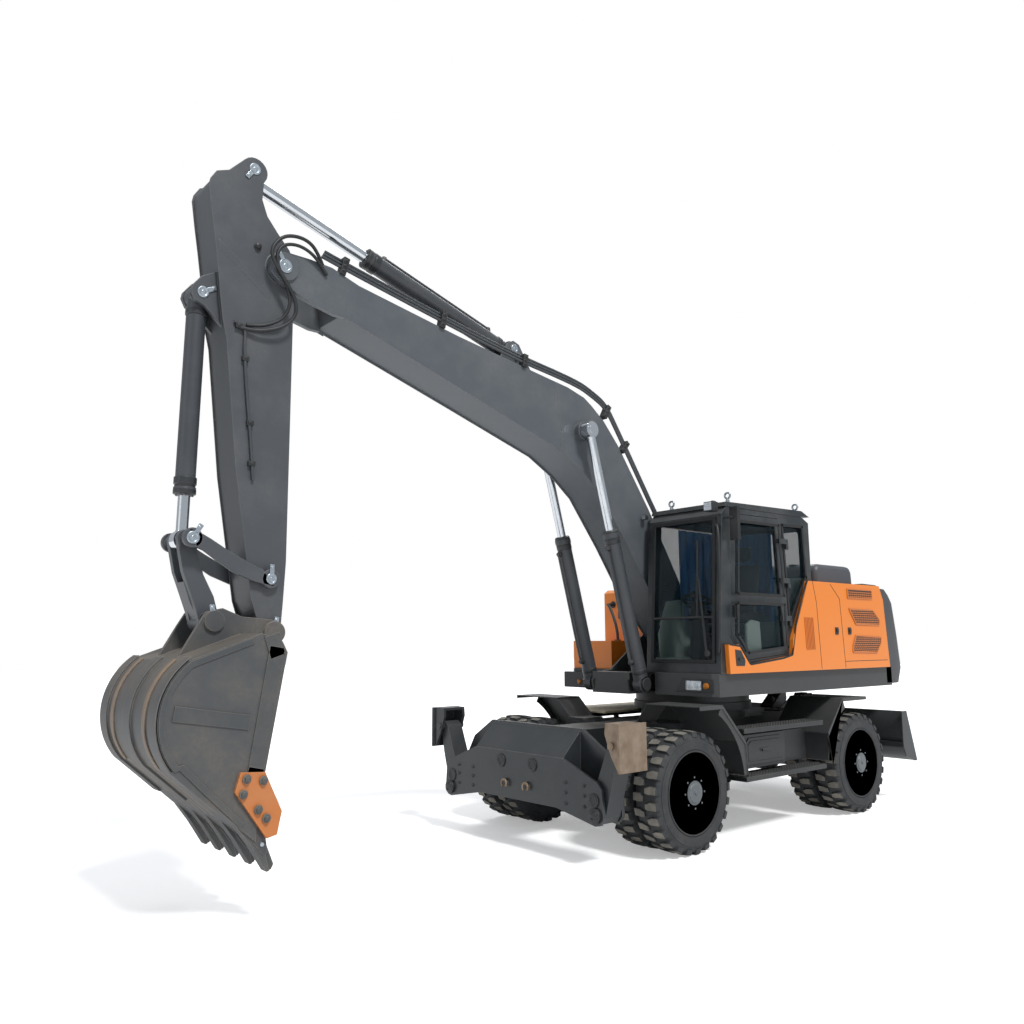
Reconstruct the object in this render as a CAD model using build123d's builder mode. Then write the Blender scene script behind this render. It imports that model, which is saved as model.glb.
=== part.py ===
from build123d import *
import os
from math import hypot, sqrt

# Wheeled excavator of the 20 tonne class, millimetres.
# +X forward (boom end), +Y left (cab side), +Z up, the ground at Z = 0.
# Lengths along X are set out from the point midway between the axles, which lies mid_x from
# the row's origin. All outlines below are drawn on planes that carry this shift.

os.makedirs("parts", exist_ok=True)

# ---- driving dimensions -------------------------------------------------------------------
mid_x = -1452.0
clear = 6.0
pin_gap = 0.05
seat_gap = 0.3

wheelbase = 2850.0
tyre_radius = 522.0
tyre_width = 272.0
outer_tyre_y = 1107.0
inner_tyre_y = 776.0
rim_radius = 254.0
rim_wall = 14.0
rim_flange_radius = 292.0
tyre_wall = 30.0
hub_radius = 152.0
hub_face_y = 1222.0
wheel_disc_y = 940.0
spindle_radius = 80.0
axle_z = tyre_radius
front_axle_x = wheelbase / 2
rear_axle_x = -wheelbase / 2
kingpin_y = 700.0
kingpin_radius = 38.0

chassis_low = 745.0
chassis_high = 1010.0
beam_half = 255.0
waist_half = 470.0
chassis_front = 2080.0
chassis_rear = -2060.0
plate = 25.0

slew_x = -150.0
ring_radius = 630.0
ring_low = 1110.0
ring_high = 1190.0
tail_radius = 2740.0

fender_top = 1272.0
fender_out = 1245.0
fender_in = 560.0
fender_sheet = 10.0

step_out = 1248.0
step_high_z = 990.0
step_low_z = 592.0

plate_front_x = 2400.0
plate_rear_x = 2145.0
outrigger_plate = 30.0
leg_pin_y = 990.0
leg_pin_z = 417.0
leg_pin_radius = 38.0
foot_pin_y = 1185.0
foot_pin_z = 985.0
pad_face_y = 1290.0

blade_pivot_x = -1900.0
blade_pivot_z = 560.0
blade_half = 1245.0
blade_base_x = -2095.0
blade_base_z = 1150.0
blade_eye_x = -2260.0
blade_eye_z = 690.0
blade_cylinder_y = 180.0
ear_gap = 62.0
blade_arm_y = 430.0

frame_low = 1310.0
deck_z = 1520.0
body_half = 1190.0
panel_y = 1245.0
hood_z = 2440.0
body_rear = -2200.0

boom_half = 225.0
foot_x = 150.0
foot_z = 1880.0
foot_pin_radius = 55.0
boom_eye_x = 1730.0
boom_eye_z = 3870.0
boom_base_x = 1060.0
boom_base_z = 1405.0
boom_cylinder_y = 342.0
arm_pivot_x = 4915.0
arm_pivot_z = 4675.0
arm_pin_radius = 50.0
arm_half = 175.0
fork_inner = arm_half + clear + 4
arm_base_x = 2508.0
arm_base_z = 4580.0
arm_eye_x = 5155.0
arm_eye_z = 5417.0
bucket_base_x = 5483.0
bucket_base_z = 4360.0
idler_x = 4924.0
idler_z = 2285.0
joint_x = 5508.0
joint_z = 2545.0
link_x = 5331.0
link_z = 1976.0
bucket_pivot_x = 4886.0
bucket_pivot_z = 1898.0
bucket_half = 580.0
bucket_wall = 25.0
tooth_pitch = 262.0
tooth_tip_x = 5025.0
tooth_tip_z = 340.0

cab_right = 300.0
cab_left = 1200.0
cab_wall = 45.0
cab_roof_z = 3150.0
glass = 8.0
pane_gap = 0.5
door_hinge_x = -215.0
door_hinge_y = 1226.0


# ---- work planes and plain features -------------------------------------------------------
def side(y):
    """Plane of an outline seen from the right, X across and Z up."""
    return Plane(origin=(mid_x, y, 0), x_dir=(1, 0, 0), z_dir=(0, -1, 0))


def deck(z):
    """Plane of an outline seen from above."""
    return Plane(origin=(mid_x, 0, z))


def front(x):
    """Plane of an outline seen from behind, Y across and Z up."""
    return Plane(origin=(mid_x + x, 0, 0), x_dir=(0, 1, 0), z_dir=(1, 0, 0))


def along(start, end, y):
    """Plane square to the line from start to end, both (x, z), at y."""
    return Plane(
        origin=(mid_x + start[0], y, start[1]),
        x_dir=(0, 1, 0),
        z_dir=(end[0] - start[0], 0, end[1] - start[1]),
    )


def side_slab(points, y_low, y_high, mode=Mode.ADD):
    """A plate whose outline lies in the XZ plane."""
    with BuildSketch(side(y_low)) as outline:
        with BuildLine():
            Polyline(*points, close=True)
        make_face()
    extrude(outline.sketch, amount=y_low - y_high, mode=mode)


def deck_slab(points, z_low, z_high, mode=Mode.ADD):
    """A plate whose outline lies in the XY plane."""
    with BuildSketch(deck(z_low)) as outline:
        with BuildLine():
            Polyline(*points, close=True)
        make_face()
    extrude(outline.sketch, amount=z_high - z_low, mode=mode)


def front_slab(points, x_low, x_high, mode=Mode.ADD):
    """A plate whose outline lies in the YZ plane."""
    with BuildSketch(front(x_low)) as outline:
        with BuildLine():
            Polyline(*points, close=True)
        make_face()
    extrude(outline.sketch, amount=x_high - x_low, mode=mode)


def block(x_low, x_high, y_low, y_high, z_low, z_high, mode=Mode.ADD):
    """A rectangular block between six stations."""
    corners = [(x_low, y_low), (x_high, y_low), (x_high, y_high), (x_low, y_high)]
    deck_slab(corners, z_low, z_high, mode)


def cross_pin(x, z, radius, y_low, y_high, mode=Mode.ADD):
    """A round bar or bore along Y."""
    with BuildSketch(side(y_low)) as outline:
        with Locations((x, z)):
            Circle(radius)
    extrude(outline.sketch, amount=y_low - y_high, mode=mode)


def post(x, y, radius, z_low, z_high, mode=Mode.ADD):
    """A round bar or bore along Z."""
    with BuildSketch(deck(z_low)) as outline:
        with Locations((x, y)):
            Circle(radius)
    extrude(outline.sketch, amount=z_high - z_low, mode=mode)


def long_pin(y, z, radius, x_low, x_high, mode=Mode.ADD):
    """A round bar or bore along X."""
    with BuildSketch(front(x_low)) as outline:
        with Locations((y, z)):
            Circle(radius)
    extrude(outline.sketch, amount=x_high - x_low, mode=mode)


def both(points):
    """An outline symmetric about the first axis, from its half on the positive side."""
    return points + [(u, -v) for u, v in reversed(points)]


def span(hand, near, far):
    """The two Y stations of one side, low first; hand is 1 on the left and -1 on the right."""
    return sorted((hand * near, hand * far))


def gap_between(start, end):
    """Distance between two (x, z) points."""
    return hypot(end[0] - start[0], end[1] - start[1])


def barrel(base, eye, y, tube, rod, eye_radius, eye_half, bore, length):
    """A cylinder's tube with its base eye, bored for the rod."""
    with BuildSketch(along(base, eye, y)) as outline:
        Circle(tube)
    extrude(outline.sketch, amount=length)
    with BuildSketch(along(base, eye, y).offset(length - tube * 0.6)) as outline:
        Circle(tube + 8)
    extrude(outline.sketch, amount=tube * 0.6)
    with BuildSketch(along(base, eye, y).offset(eye_radius + 15)) as outline:
        Circle(rod + pin_gap)
    extrude(outline.sketch, amount=length, mode=Mode.SUBTRACT)
    cross_pin(base[0], base[1], eye_radius, y - eye_half, y + eye_half)
    cross_pin(base[0], base[1], tube + 5, y - tube - 5, y - eye_half, Mode.SUBTRACT)
    cross_pin(base[0], base[1], tube + 5, y + eye_half, y + tube + 5, Mode.SUBTRACT)
    cross_pin(base[0], base[1], bore + pin_gap, y - eye_half, y + eye_half, Mode.SUBTRACT)


def rod(base, eye, y, radius, eye_radius, eye_half, pin_radius, tail):
    """A cylinder's rod from its tail inside the tube to its eye, which carries a pin stub."""
    reach = gap_between(base, eye)
    with BuildSketch(along(base, eye, y).offset(tail)) as outline:
        Circle(radius)
    extrude(outline.sketch, amount=reach - tail)
    cross_pin(eye[0], eye[1], eye_radius, y - eye_half, y + eye_half)
    cross_pin(eye[0], eye[1], pin_radius, y - eye_half - 4, y + eye_half + 4)


# ---- wheels -------------------------------------------------------------------------------
tyre_half = tyre_width / 2
flange = 12.0
flange_inset = 10.0
bead_half = tyre_half - flange_inset - flange - seat_gap


def tyre_section(y_middle):
    """Half outline of one tyre as (y, radius), open towards the rim."""
    bead = rim_radius + seat_gap
    return [
        (y_middle - bead_half, bead),
        (y_middle - bead_half, rim_flange_radius + 1),
        (y_middle - tyre_half, tyre_radius - 165),
        (y_middle - tyre_half + 4, tyre_radius - 60),
        (y_middle - tyre_half + 22, tyre_radius),
        (y_middle + tyre_half - 22, tyre_radius),
        (y_middle + tyre_half - 4, tyre_radius - 60),
        (y_middle + tyre_half, tyre_radius - 165),
        (y_middle + bead_half, rim_flange_radius + 1),
        (y_middle + bead_half, bead),
        (y_middle + bead_half - tyre_wall, bead),
        (y_middle + tyre_half - tyre_wall, tyre_radius - 165),
        (y_middle + tyre_half - 10 - tyre_wall, tyre_radius - tyre_wall - 30),
        (y_middle - tyre_half + 10 + tyre_wall, tyre_radius - tyre_wall - 30),
        (y_middle - tyre_half + tyre_wall, tyre_radius - 165),
        (y_middle - bead_half + tyre_wall, bead),
    ]


def turned(points, x, hand):
    """A body turned about the axle line at station x, from (y, radius) points."""
    axle = Plane(origin=(mid_x + x, 0, axle_z), x_dir=(0, hand, 0), z_dir=(-hand, 0, 0))
    with BuildSketch(axle) as outline:
        with BuildLine():
            Polyline(*points, close=True)
        make_face()
    revolve(outline.sketch, axis=Axis((mid_x + x, 0, axle_z), (0, 1, 0)))


# name, axle station, side, inner face of the hub drum
wheels = [
    ("front_left", front_axle_x, 1, 862.0),
    ("front_right", front_axle_x, -1, 862.0),
    ("rear_left", rear_axle_x, 1, 660.0),
    ("rear_right", rear_axle_x, -1, 660.0),
]
for wheel_name, wheel_x, hand, drum_y in wheels:
    with BuildPart() as tyres:
        for middle in (outer_tyre_y, inner_tyre_y):
            turned(tyre_section(middle), wheel_x, hand)
    tyres.part.label = "tyres_" + wheel_name
    export_step(tyres.part, "parts/tyres_" + wheel_name + ".step")

    rim_outer = outer_tyre_y + tyre_half - flange_inset
    rim_inner = inner_tyre_y - tyre_half + flange_inset
    barrel_in = rim_radius - rim_wall
    with BuildPart() as rim:
        turned(
            [
                (drum_y, spindle_radius + pin_gap),
                (drum_y, hub_radius),
                (wheel_disc_y - 12, hub_radius),
                (wheel_disc_y - 12, barrel_in),
                (rim_inner, barrel_in),
                (rim_inner, rim_flange_radius),
                (rim_inner + flange, rim_flange_radius),
                (rim_inner + flange, rim_radius),
                (rim_outer - flange, rim_radius),
                (rim_outer - flange, rim_flange_radius),
                (rim_outer, rim_flange_radius),
                (rim_outer, barrel_in),
                (wheel_disc_y + 12, barrel_in),
                (wheel_disc_y + 12, hub_radius),
                (hub_face_y - 12, hub_radius),
                (hub_face_y, hub_radius - 14),
                (hub_face_y, 0),
                (drum_y + 120, 0),
                (drum_y + 120, spindle_radius + pin_gap),
            ],
            wheel_x,
            hand,
        )
    rim.part.label = "wheel_" + wheel_name
    export_step(rim.part, "parts/wheel_" + wheel_name + ".step")

# ---- axles and steering knuckles ----------------------------------------------------------
with BuildPart() as rear_axle:
    turned(
        [
            (-540, 0),
            (-540, 0.1),
            (-430, 105),
            (-210, 112),
            (-130, 190),
            (130, 190),
            (210, 112),
            (430, 105),
            (540, 0.1),
            (540, 0),
        ],
        rear_axle_x,
        1,
    )
    for hand in (1, -1):
        turned([(300, 0), (300, 108), (440, 108), (480, 178), (652, 178), (652, 0)], rear_axle_x, hand)
        turned([(652, 0), (652, spindle_radius), (775, spindle_radius), (775, 0)], rear_axle_x, hand)
        low, high = span(hand, 150, 250)
        block(rear_axle_x - 110, rear_axle_x + 110, low, high, axle_z + 60, chassis_low)
rear_axle.part.label = "rear_axle"
export_step(rear_axle.part, "parts/rear_axle.step")

fork_y_low = kingpin_y - 75
fork_y_high = kingpin_y + 62
fork_half_z = 172.0
carrier_half_z = 118.0
with BuildPart() as front_axle:
    turned(
        [
            (-500, 0),
            (-500, 100),
            (-210, 112),
            (-130, 190),
            (130, 190),
            (210, 112),
            (500, 100),
            (500, 0),
        ],
        front_axle_x,
        1,
    )
    for hand in (1, -1):
        low, high = span(hand, 440, 560)
        block(front_axle_x - 85, front_axle_x + 85, low, high, axle_z - fork_half_z, axle_z + fork_half_z)
        low, high = span(hand, 500, fork_y_high)
        for z_low, z_high in (
            (axle_z + carrier_half_z + clear, axle_z + fork_half_z),
            (axle_z - fork_half_z, axle_z - carrier_half_z - clear),
        ):
            block(front_axle_x - 70, front_axle_x + 70, low, high, z_low, z_high)
            post(
                front_axle_x,
                hand * kingpin_y,
                kingpin_radius,
                z_low if z_low > axle_z else axle_z - carrier_half_z - clear,
                z_high if z_low > axle_z else axle_z - carrier_half_z - clear + 40,
            )
        low, high = span(hand, 120, 240)
        block(front_axle_x - 110, front_axle_x + 110, low, high, axle_z + 60, chassis_low)
    for z_low, z_high in (
        (axle_z + carrier_half_z - 40, axle_z + carrier_half_z + clear + 4),
        (axle_z - carrier_half_z - clear - 4, axle_z - carrier_half_z + 40),
    ):
        for hand in (1, -1):
            post(front_axle_x, hand * kingpin_y, kingpin_radius, z_low, z_high)
    cross_pin(front_axle_x - 205, axle_z - 20, 45, -260, 260)
    for hand in (1, -1):
        low, high = span(hand, 100, 160)
        block(front_axle_x - 205, front_axle_x, low, high, axle_z - 50, axle_z + 10)
front_axle.part.label = "front_axle"
export_step(front_axle.part, "parts/front_axle.step")

for side_name, hand in (("left", 1), ("right", -1)):
    with BuildPart() as knuckle:
        post(
            front_axle_x,
            hand * kingpin_y,
            112,
            axle_z - carrier_half_z,
            axle_z + carrier_half_z,
        )
        cone = [(kingpin_y, 0), (kingpin_y, 104), (800, 108), (852, 140), (852, 0)]
        turned(cone, front_axle_x, hand)
        turned([(852, 0), (852, spindle_radius), (975, spindle_radius), (975, 0)], front_axle_x, hand)
        for z_low, z_high in (
            (axle_z + carrier_half_z - 42, axle_z + carrier_half_z),
            (axle_z - carrier_half_z, axle_z - carrier_half_z + 42),
        ):
            post(
                front_axle_x,
                hand * kingpin_y,
                kingpin_radius + pin_gap,
                z_low,
                z_high,
                Mode.SUBTRACT,
            )
    knuckle.part.label = "knuckle_" + side_name
    export_step(knuckle.part, "parts/knuckle_" + side_name + ".step")

# ---- undercarriage ------------------------------------------------------------------------
chassis_plan = [
    (chassis_front, beam_half),
    (900, beam_half),
    (650, waist_half),
    (-650 + slew_x, waist_half),
    (-900 + slew_x, beam_half),
    (chassis_rear, beam_half),
]
chassis_core = [
    (chassis_front - plate, beam_half - plate),
    (900 + plate / 2, beam_half - plate),
    (650 - plate / 2, waist_half - plate),
    (-650 + slew_x + plate / 2, waist_half - plate),
    (-900 + slew_x - plate / 2, beam_half - plate),
    (chassis_rear + plate, beam_half - plate),
]
with BuildPart() as chassis:
    deck_slab(both(chassis_plan), chassis_low, chassis_high)
    deck_slab(both(chassis_core), chassis_low + plate, chassis_high - plate, Mode.SUBTRACT)
    post(slew_x, 0, ring_radius - 70, chassis_high - 1, ring_low)
    post(slew_x, 0, ring_radius - 180, chassis_high, ring_low, Mode.SUBTRACT)
    for hand in (1, -1):
        low, high = span(hand, blade_arm_y - 110, blade_arm_y - 75)
        lug = [
            (chassis_rear + 20, chassis_low + 60),
            (chassis_rear + 360, chassis_low + 60),
            (blade_pivot_x + 90, blade_pivot_z - 20),
            (blade_pivot_x + 40, blade_pivot_z - 75),
            (blade_pivot_x - 50, blade_pivot_z - 75),
            (blade_pivot_x - 80, blade_pivot_z + 20),
        ]
        side_slab(lug, low, high)
        low, high = span(hand, beam_half - 20, blade_arm_y - 75)
        block(chassis_rear + 60, chassis_rear + 320, low, high, chassis_low + 60, chassis_low + 110)
        low, high = span(hand, blade_arm_y - 110, blade_arm_y + 50)
        cross_pin(blade_pivot_x, blade_pivot_z, 40, low, high)
        for near in (blade_cylinder_y - ear_gap - 25, blade_cylinder_y + ear_gap):
            low, high = span(hand, near, near + 25)
            ear = [
                (chassis_rear + 260, chassis_high - 5),
                (blade_base_x + 50, blade_base_z + 40),
                (blade_base_x - 45, blade_base_z + 40),
                (blade_base_x - 55, blade_base_z - 40),
                (chassis_rear + 1, chassis_high - 90),
                (chassis_rear + 60, chassis_high - 90),
            ]
            side_slab(ear, low, high)
        low, high = span(hand, blade_cylinder_y - ear_gap - 2, blade_cylinder_y + ear_gap + 2)
        cross_pin(blade_base_x, blade_base_z, 30, low, high)
chassis.part.label = "chassis"
export_step(chassis.part, "parts/chassis.step")

with BuildPart() as slew_ring:
    post(slew_x, 0, ring_radius, ring_low, ring_high)
    post(slew_x, 0, ring_radius - 160, ring_low, ring_high, Mode.SUBTRACT)
slew_ring.part.label = "slew_ring"
export_step(slew_ring.part, "parts/slew_ring.step")


def folded(points, thickness):
    """A bent sheet's outline from its outer face, thickened downwards and inwards."""
    inner = []
    for i, point in enumerate(points):
        before = points[max(i - 1, 0)]
        after = points[min(i + 1, len(points) - 1)]
        dx, dz = after[0] - before[0], after[1] - before[1]
        run = hypot(dx, dz)
        inner.append((point[0] + dz / run * thickness, point[1] - dx / run * thickness))
    return points + inner[::-1]


# name, outline of the sheet's outer face from its outer end towards the steps
fender_sheets = [
    (
        "fenders_front",
        [(700, 600), (655, 890), (990, fender_top), (2040, fender_top)],
        (1000, 1080),
    ),
    (
        "fenders_rear",
        [(-2080, fender_top - 60), (-1940, fender_top), (-960, fender_top), (-790, 890), (-815, 590)],
        (-1150, -1070),
    ),
]
for fender_name, outline, (bracket_low, bracket_high) in fender_sheets:
    with BuildPart() as fenders:
        for hand in (1, -1):
            low, high = span(hand, fender_in, fender_out)
            side_slab(folded(outline, fender_sheet), low, high)
            low, high = span(hand, beam_half, fender_in + 60)
            block(
                bracket_low,
                bracket_high,
                low,
                high,
                fender_top - 70,
                fender_top - fender_sheet,
            )
            low, high = span(hand, beam_half + seat_gap, beam_half + 20)
            block(bracket_low, bracket_high, low, high, chassis_high - 120, fender_top - fender_sheet)
    fenders.part.label = fender_name
    export_step(fenders.part, "parts/" + fender_name + ".step")

for side_name, hand in (("left", 1), ("right", -1)):
    with BuildPart() as steps:
        low, high = span(hand, 1000, step_out)
        block(-700, 630, low, high, step_high_z - 22, step_high_z)
        block(-725, 630, low, high, step_low_z - 22, step_low_z)
        for hanger_x in (-600, -60, 520):
            low, high = span(hand, 640, step_out - 15)
            hanger = [
                (low if hand > 0 else high, 660),
                (hand * 1000, step_low_z - 10),
                (hand * (step_out - 15), step_low_z - 10),
                (hand * (step_out - 15), step_high_z - 10),
                (low if hand > 0 else high, step_high_z - 10),
            ]
            front_slab(hanger, hanger_x, hanger_x + 14)
        low, high = span(hand, waist_half + seat_gap, 1130)
        block(-40, 500, low, high, 640, 930)
        low, high = span(hand, waist_half + seat_gap, 900)
        block(-620, -60, low, high, 680, 900)
    steps.part.label = "steps_" + side_name
    export_step(steps.part, "parts/steps_" + side_name + ".step")

# ---- outriggers ---------------------------------------------------------------------------
outrigger_low = 420.0
cover_top = 1070.0
front_top = 835.0
well_y = 600.0
front_half = [
    (0, front_top),
    (well_y, front_top),
    (1010, 678),
    (1058, 630),
    (1078, 400),
    (1040, 345),
    (985, 333),
    (520, outrigger_low),
    (0, outrigger_low),
]
rear_half = [
    (0, cover_top),
    (well_y + 20, cover_top),
    (900, 900),
    (1058, 650),
    (1078, 400),
    (1040, 345),
    (985, 333),
    (520, outrigger_low),
    (0, outrigger_low),
]


def facing(points):
    """A closed outline symmetric about Y = 0 from its left half."""
    return points + [(-u, v) for u, v in reversed(points[1:-1])]


with BuildPart() as outrigger_box:
    front_slab(facing(front_half), plate_front_x - outrigger_plate, plate_front_x)
    front_slab(facing(rear_half), plate_rear_x, plate_rear_x + outrigger_plate)
    cover = [
        (plate_rear_x + 10, cover_top),
        (plate_front_x - 10, front_top),
        (plate_front_x - 10, front_top - 16),
        (plate_rear_x + 10, cover_top - 16),
    ]
    side_slab(cover, -well_y, well_y)
    wall = [
        (plate_rear_x + 10, outrigger_low),
        (plate_front_x - 10, outrigger_low),
        (plate_front_x - 10, front_top - 8),
        (plate_rear_x + 10, cover_top - 8),
    ]
    for hand in (1, -1):
        low, high = span(hand, well_y - 16, well_y)
        side_slab(wall, low, high)
        long_pin(hand * leg_pin_y, leg_pin_z, leg_pin_radius, plate_rear_x, plate_front_x + 12)
        long_pin(hand * 970, 533, 34, plate_front_x - 40, plate_front_x + 5, Mode.SUBTRACT)
    block(plate_rear_x + 10, plate_front_x - 10, -520, 520, outrigger_low, outrigger_low + 16)
    for hole_y in (-215, 215):
        long_pin(hole_y, 742, 28, plate_front_x - 40, plate_front_x + 5, Mode.SUBTRACT)
    block(chassis_front + seat_gap, plate_rear_x + 1, -beam_half, beam_half, chassis_low, chassis_high)
outrigger_box.part.label = "outrigger_box"
export_step(outrigger_box.part, "parts/outrigger_box.step")

leg_low_x = plate_rear_x + outrigger_plate + clear + 4
leg_high_x = plate_front_x - outrigger_plate - clear - 4
pad_middle_x = 2260.0
for side_name, hand in (("left", 1), ("right", -1)):
    with BuildPart() as leg:
        outline = [
            (hand * 925, 400),
            (hand * 960, 352),
            (hand * 1030, 352),
            (hand * 1062, 400),
            (hand * 1165, 740),
            (hand * (foot_pin_y + 28), foot_pin_z),
            (hand * (foot_pin_y - 20), foot_pin_z + 48),
            (hand * (foot_pin_y - 75), foot_pin_z + 10),
            (hand * 985, 700),
        ]
        front_slab(outline, leg_low_x, leg_high_x)
        core = [
            (hand * 955, 500),
            (hand * 1072, 500),
            (hand * 1148, 750),
            (hand * 1160, 900),
            (hand * 1100, 900),
            (hand * 1012, 700),
        ]
        front_slab(core, leg_low_x + 15, leg_high_x - 15, Mode.SUBTRACT)
        long_pin(
            hand * leg_pin_y,
            leg_pin_z,
            leg_pin_radius + pin_gap,
            leg_low_x,
            leg_high_x,
            Mode.SUBTRACT,
        )
    leg.part.label = "outrigger_leg_" + side_name
    export_step(leg.part, "parts/outrigger_leg_" + side_name + ".step")
    with BuildPart() as pad:
        cheek = [
            (hand * (pad_face_y - 10), 1160),
            (hand * 1120, 1160),
            (hand * 1110, 1080),
            (hand * 1180, 900),
            (hand * (pad_face_y - 40), 790),
            (hand * (pad_face_y - 10), 790),
        ]
        for cheek_x in (leg_low_x - 45, leg_high_x + 20):
            front_slab(cheek, cheek_x, cheek_x + 25)
        plate_x = (pad_middle_x - 165, pad_middle_x + 165)
        low, high = span(hand, pad_face_y - 22, pad_face_y)
        block(plate_x[0], plate_x[1], low, high, 780, 1165)
        low, high = span(hand, 1120, pad_face_y)
        block(leg_low_x - 45, leg_high_x + 45, low, high, 1140, 1165)
        long_pin(hand * foot_pin_y, foot_pin_z, 32, leg_high_x + seat_gap, leg_high_x + 60)
        long_pin(hand * foot_pin_y, foot_pin_z, 32, leg_low_x - 60, leg_low_x - seat_gap)
    pad.part.label = "outrigger_pad_" + side_name
    export_step(pad.part, "parts/outrigger_pad_" + side_name + ".step")

# ---- dozer blade --------------------------------------------------------------------------
with BuildPart() as blade:
    with BuildSketch(side(-blade_half)):
        with BuildLine():
            ThreePointArc((-2510, 1005), (-2440, 740), (-2700, 440))
            Line((-2700, 440), (-2672, 436))
            ThreePointArc((-2672, 436), (-2416, 740), (-2484, 1005))
            Line((-2484, 1005), (-2510, 1005))
        make_face()
    extrude(amount=-2 * blade_half)
    for hand in (1, -1):
        low, high = span(hand, blade_half - 14, blade_half)
        cheek = [(-2515, 1010), (-2400, 1005), (-2395, 620), (-2450, 500), (-2640, 436), (-2705, 436)]
        side_slab(cheek, low, high)
        low, high = span(hand, blade_arm_y - 70, blade_arm_y + 10)
        arm_outline = [
            (-2432, 800),
            (-2300, 790),
            (blade_pivot_x + 60, blade_pivot_z + 60),
            (blade_pivot_x + 78, blade_pivot_z),
            (blade_pivot_x + 40, blade_pivot_z - 65),
            (blade_pivot_x - 30, blade_pivot_z - 72),
            (-2430, 560),
        ]
        side_slab(arm_outline, low, high)
        low, high = span(hand, blade_arm_y - 70, blade_arm_y + 10)
        cross_pin(blade_pivot_x, blade_pivot_z, 40 + pin_gap, low, high, Mode.SUBTRACT)
        for near in (blade_cylinder_y - ear_gap - 25, blade_cylinder_y + ear_gap):
            low, high = span(hand, near, near + 25)
            ear = [
                (-2430, 860),
                (blade_eye_x - 10, blade_eye_z + 50),
                (blade_eye_x + 40, blade_eye_z + 15),
                (blade_eye_x + 40, blade_eye_z - 20),
                (blade_eye_x, blade_eye_z - 50),
                (-2430, 640),
            ]
            side_slab(ear, low, high)
    block(-2436, -2405, -blade_half + 10, blade_half - 10, 600, 660)
blade.part.label = "blade"
export_step(blade.part, "parts/blade.step")

blade_base = (blade_base_x, blade_base_z)
blade_eye = (blade_eye_x, blade_eye_z)
with BuildPart() as blade_barrels:
    for hand in (1, -1):
        barrel(blade_base, blade_eye, hand * blade_cylinder_y, 48, 28, 46, 38, 30, 400)
blade_barrels.part.label = "blade_barrels"
export_step(blade_barrels.part, "parts/blade_barrels.step")
with BuildPart() as blade_rods:
    for hand in (1, -1):
        rod(blade_base, blade_eye, hand * blade_cylinder_y, 28, 42, 36, 20, 95)
blade_rods.part.label = "blade_rods"
export_step(blade_rods.part, "parts/blade_rods.step")

# ---- revolving frame ----------------------------------------------------------------------
bracket_in = boom_half + clear + 2
bracket_out = bracket_in + 20
frame_plan = [
    (-2330, body_half),
    (945, body_half),
    (985, body_half - 60),
    (985, 450),
    (900, 440),
    (900, bracket_out),
    (1140, bracket_out),
    (1140, -bracket_out),
    (560, -bracket_out),
    (540, -body_half + 60),
    (500, -body_half),
    (-2330, -body_half),
]
frame_core = [
    (-2300, body_half - 30),
    (900, body_half - 30),
    (900, 320),
    (-2300, 320),
]
frame_core_right = [
    (-2300, -320),
    (470, -320),
    (470, -body_half + 30),
    (-2300, -body_half + 30),
]
with BuildPart() as upper_frame:
    deck_slab(frame_plan, frame_low, deck_z)
    deck_slab(frame_core, frame_low + 20, deck_z - 20, Mode.SUBTRACT)
    deck_slab(frame_core_right, frame_low + 20, deck_z - 20, Mode.SUBTRACT)
    block(-1480, 1000, -bracket_in, bracket_in, frame_low + 30, deck_z + 1, Mode.SUBTRACT)
    post(slew_x, 0, ring_radius - 20, ring_high + 0.5, frame_low + 1)
    for hand in (1, -1):
        bracket = [
            (-1500, frame_low + 1),
            (-1500, 1560),
            (-250, 1960),
            (foot_x - 90, foot_z + 130),
            (foot_x + 70, foot_z + 140),
            (foot_x + 170, foot_z + 40),
            (boom_base_x - 180, boom_base_z + 130),
            (boom_base_x + 30, boom_base_z + 105),
            (boom_base_x + 100, boom_base_z + 30),
            (boom_base_x + 80, frame_low + 1),
        ]
        low, high = span(hand, bracket_in, bracket_out)
        side_slab(bracket, low, high)
        low, high = span(hand, boom_cylinder_y + 52, boom_cylinder_y + 70)
        cross_pin(boom_base_x, boom_base_z, 60, low, high)
    cross_pin(foot_x, foot_z, foot_pin_radius, -300, 300)
    cross_pin(boom_base_x, boom_base_z, 42, -boom_cylinder_y - 68, boom_cylinder_y + 68)
upper_frame.part.label = "upper_frame"
export_step(upper_frame.part, "parts/upper_frame.step")

weight_front = -2330 - seat_gap
with BuildPart() as counterweight:
    with BuildSketch(deck(frame_low + 10)):
        with BuildLine():
            flank = slew_x - sqrt(tail_radius**2 - body_half**2)
            Polyline((flank, -body_half), (weight_front, -body_half), (weight_front, body_half), (flank, body_half))
            ThreePointArc((flank, body_half), (slew_x - tail_radius, 0), (flank, -body_half))
        make_face()
    extrude(amount=2300 - frame_low - 10)
    block(-2640, -2380, -900, 900, frame_low + 160, 2150, Mode.SUBTRACT)
counterweight.part.label = "counterweight"
export_step(counterweight.part, "parts/counterweight.step")

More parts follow.
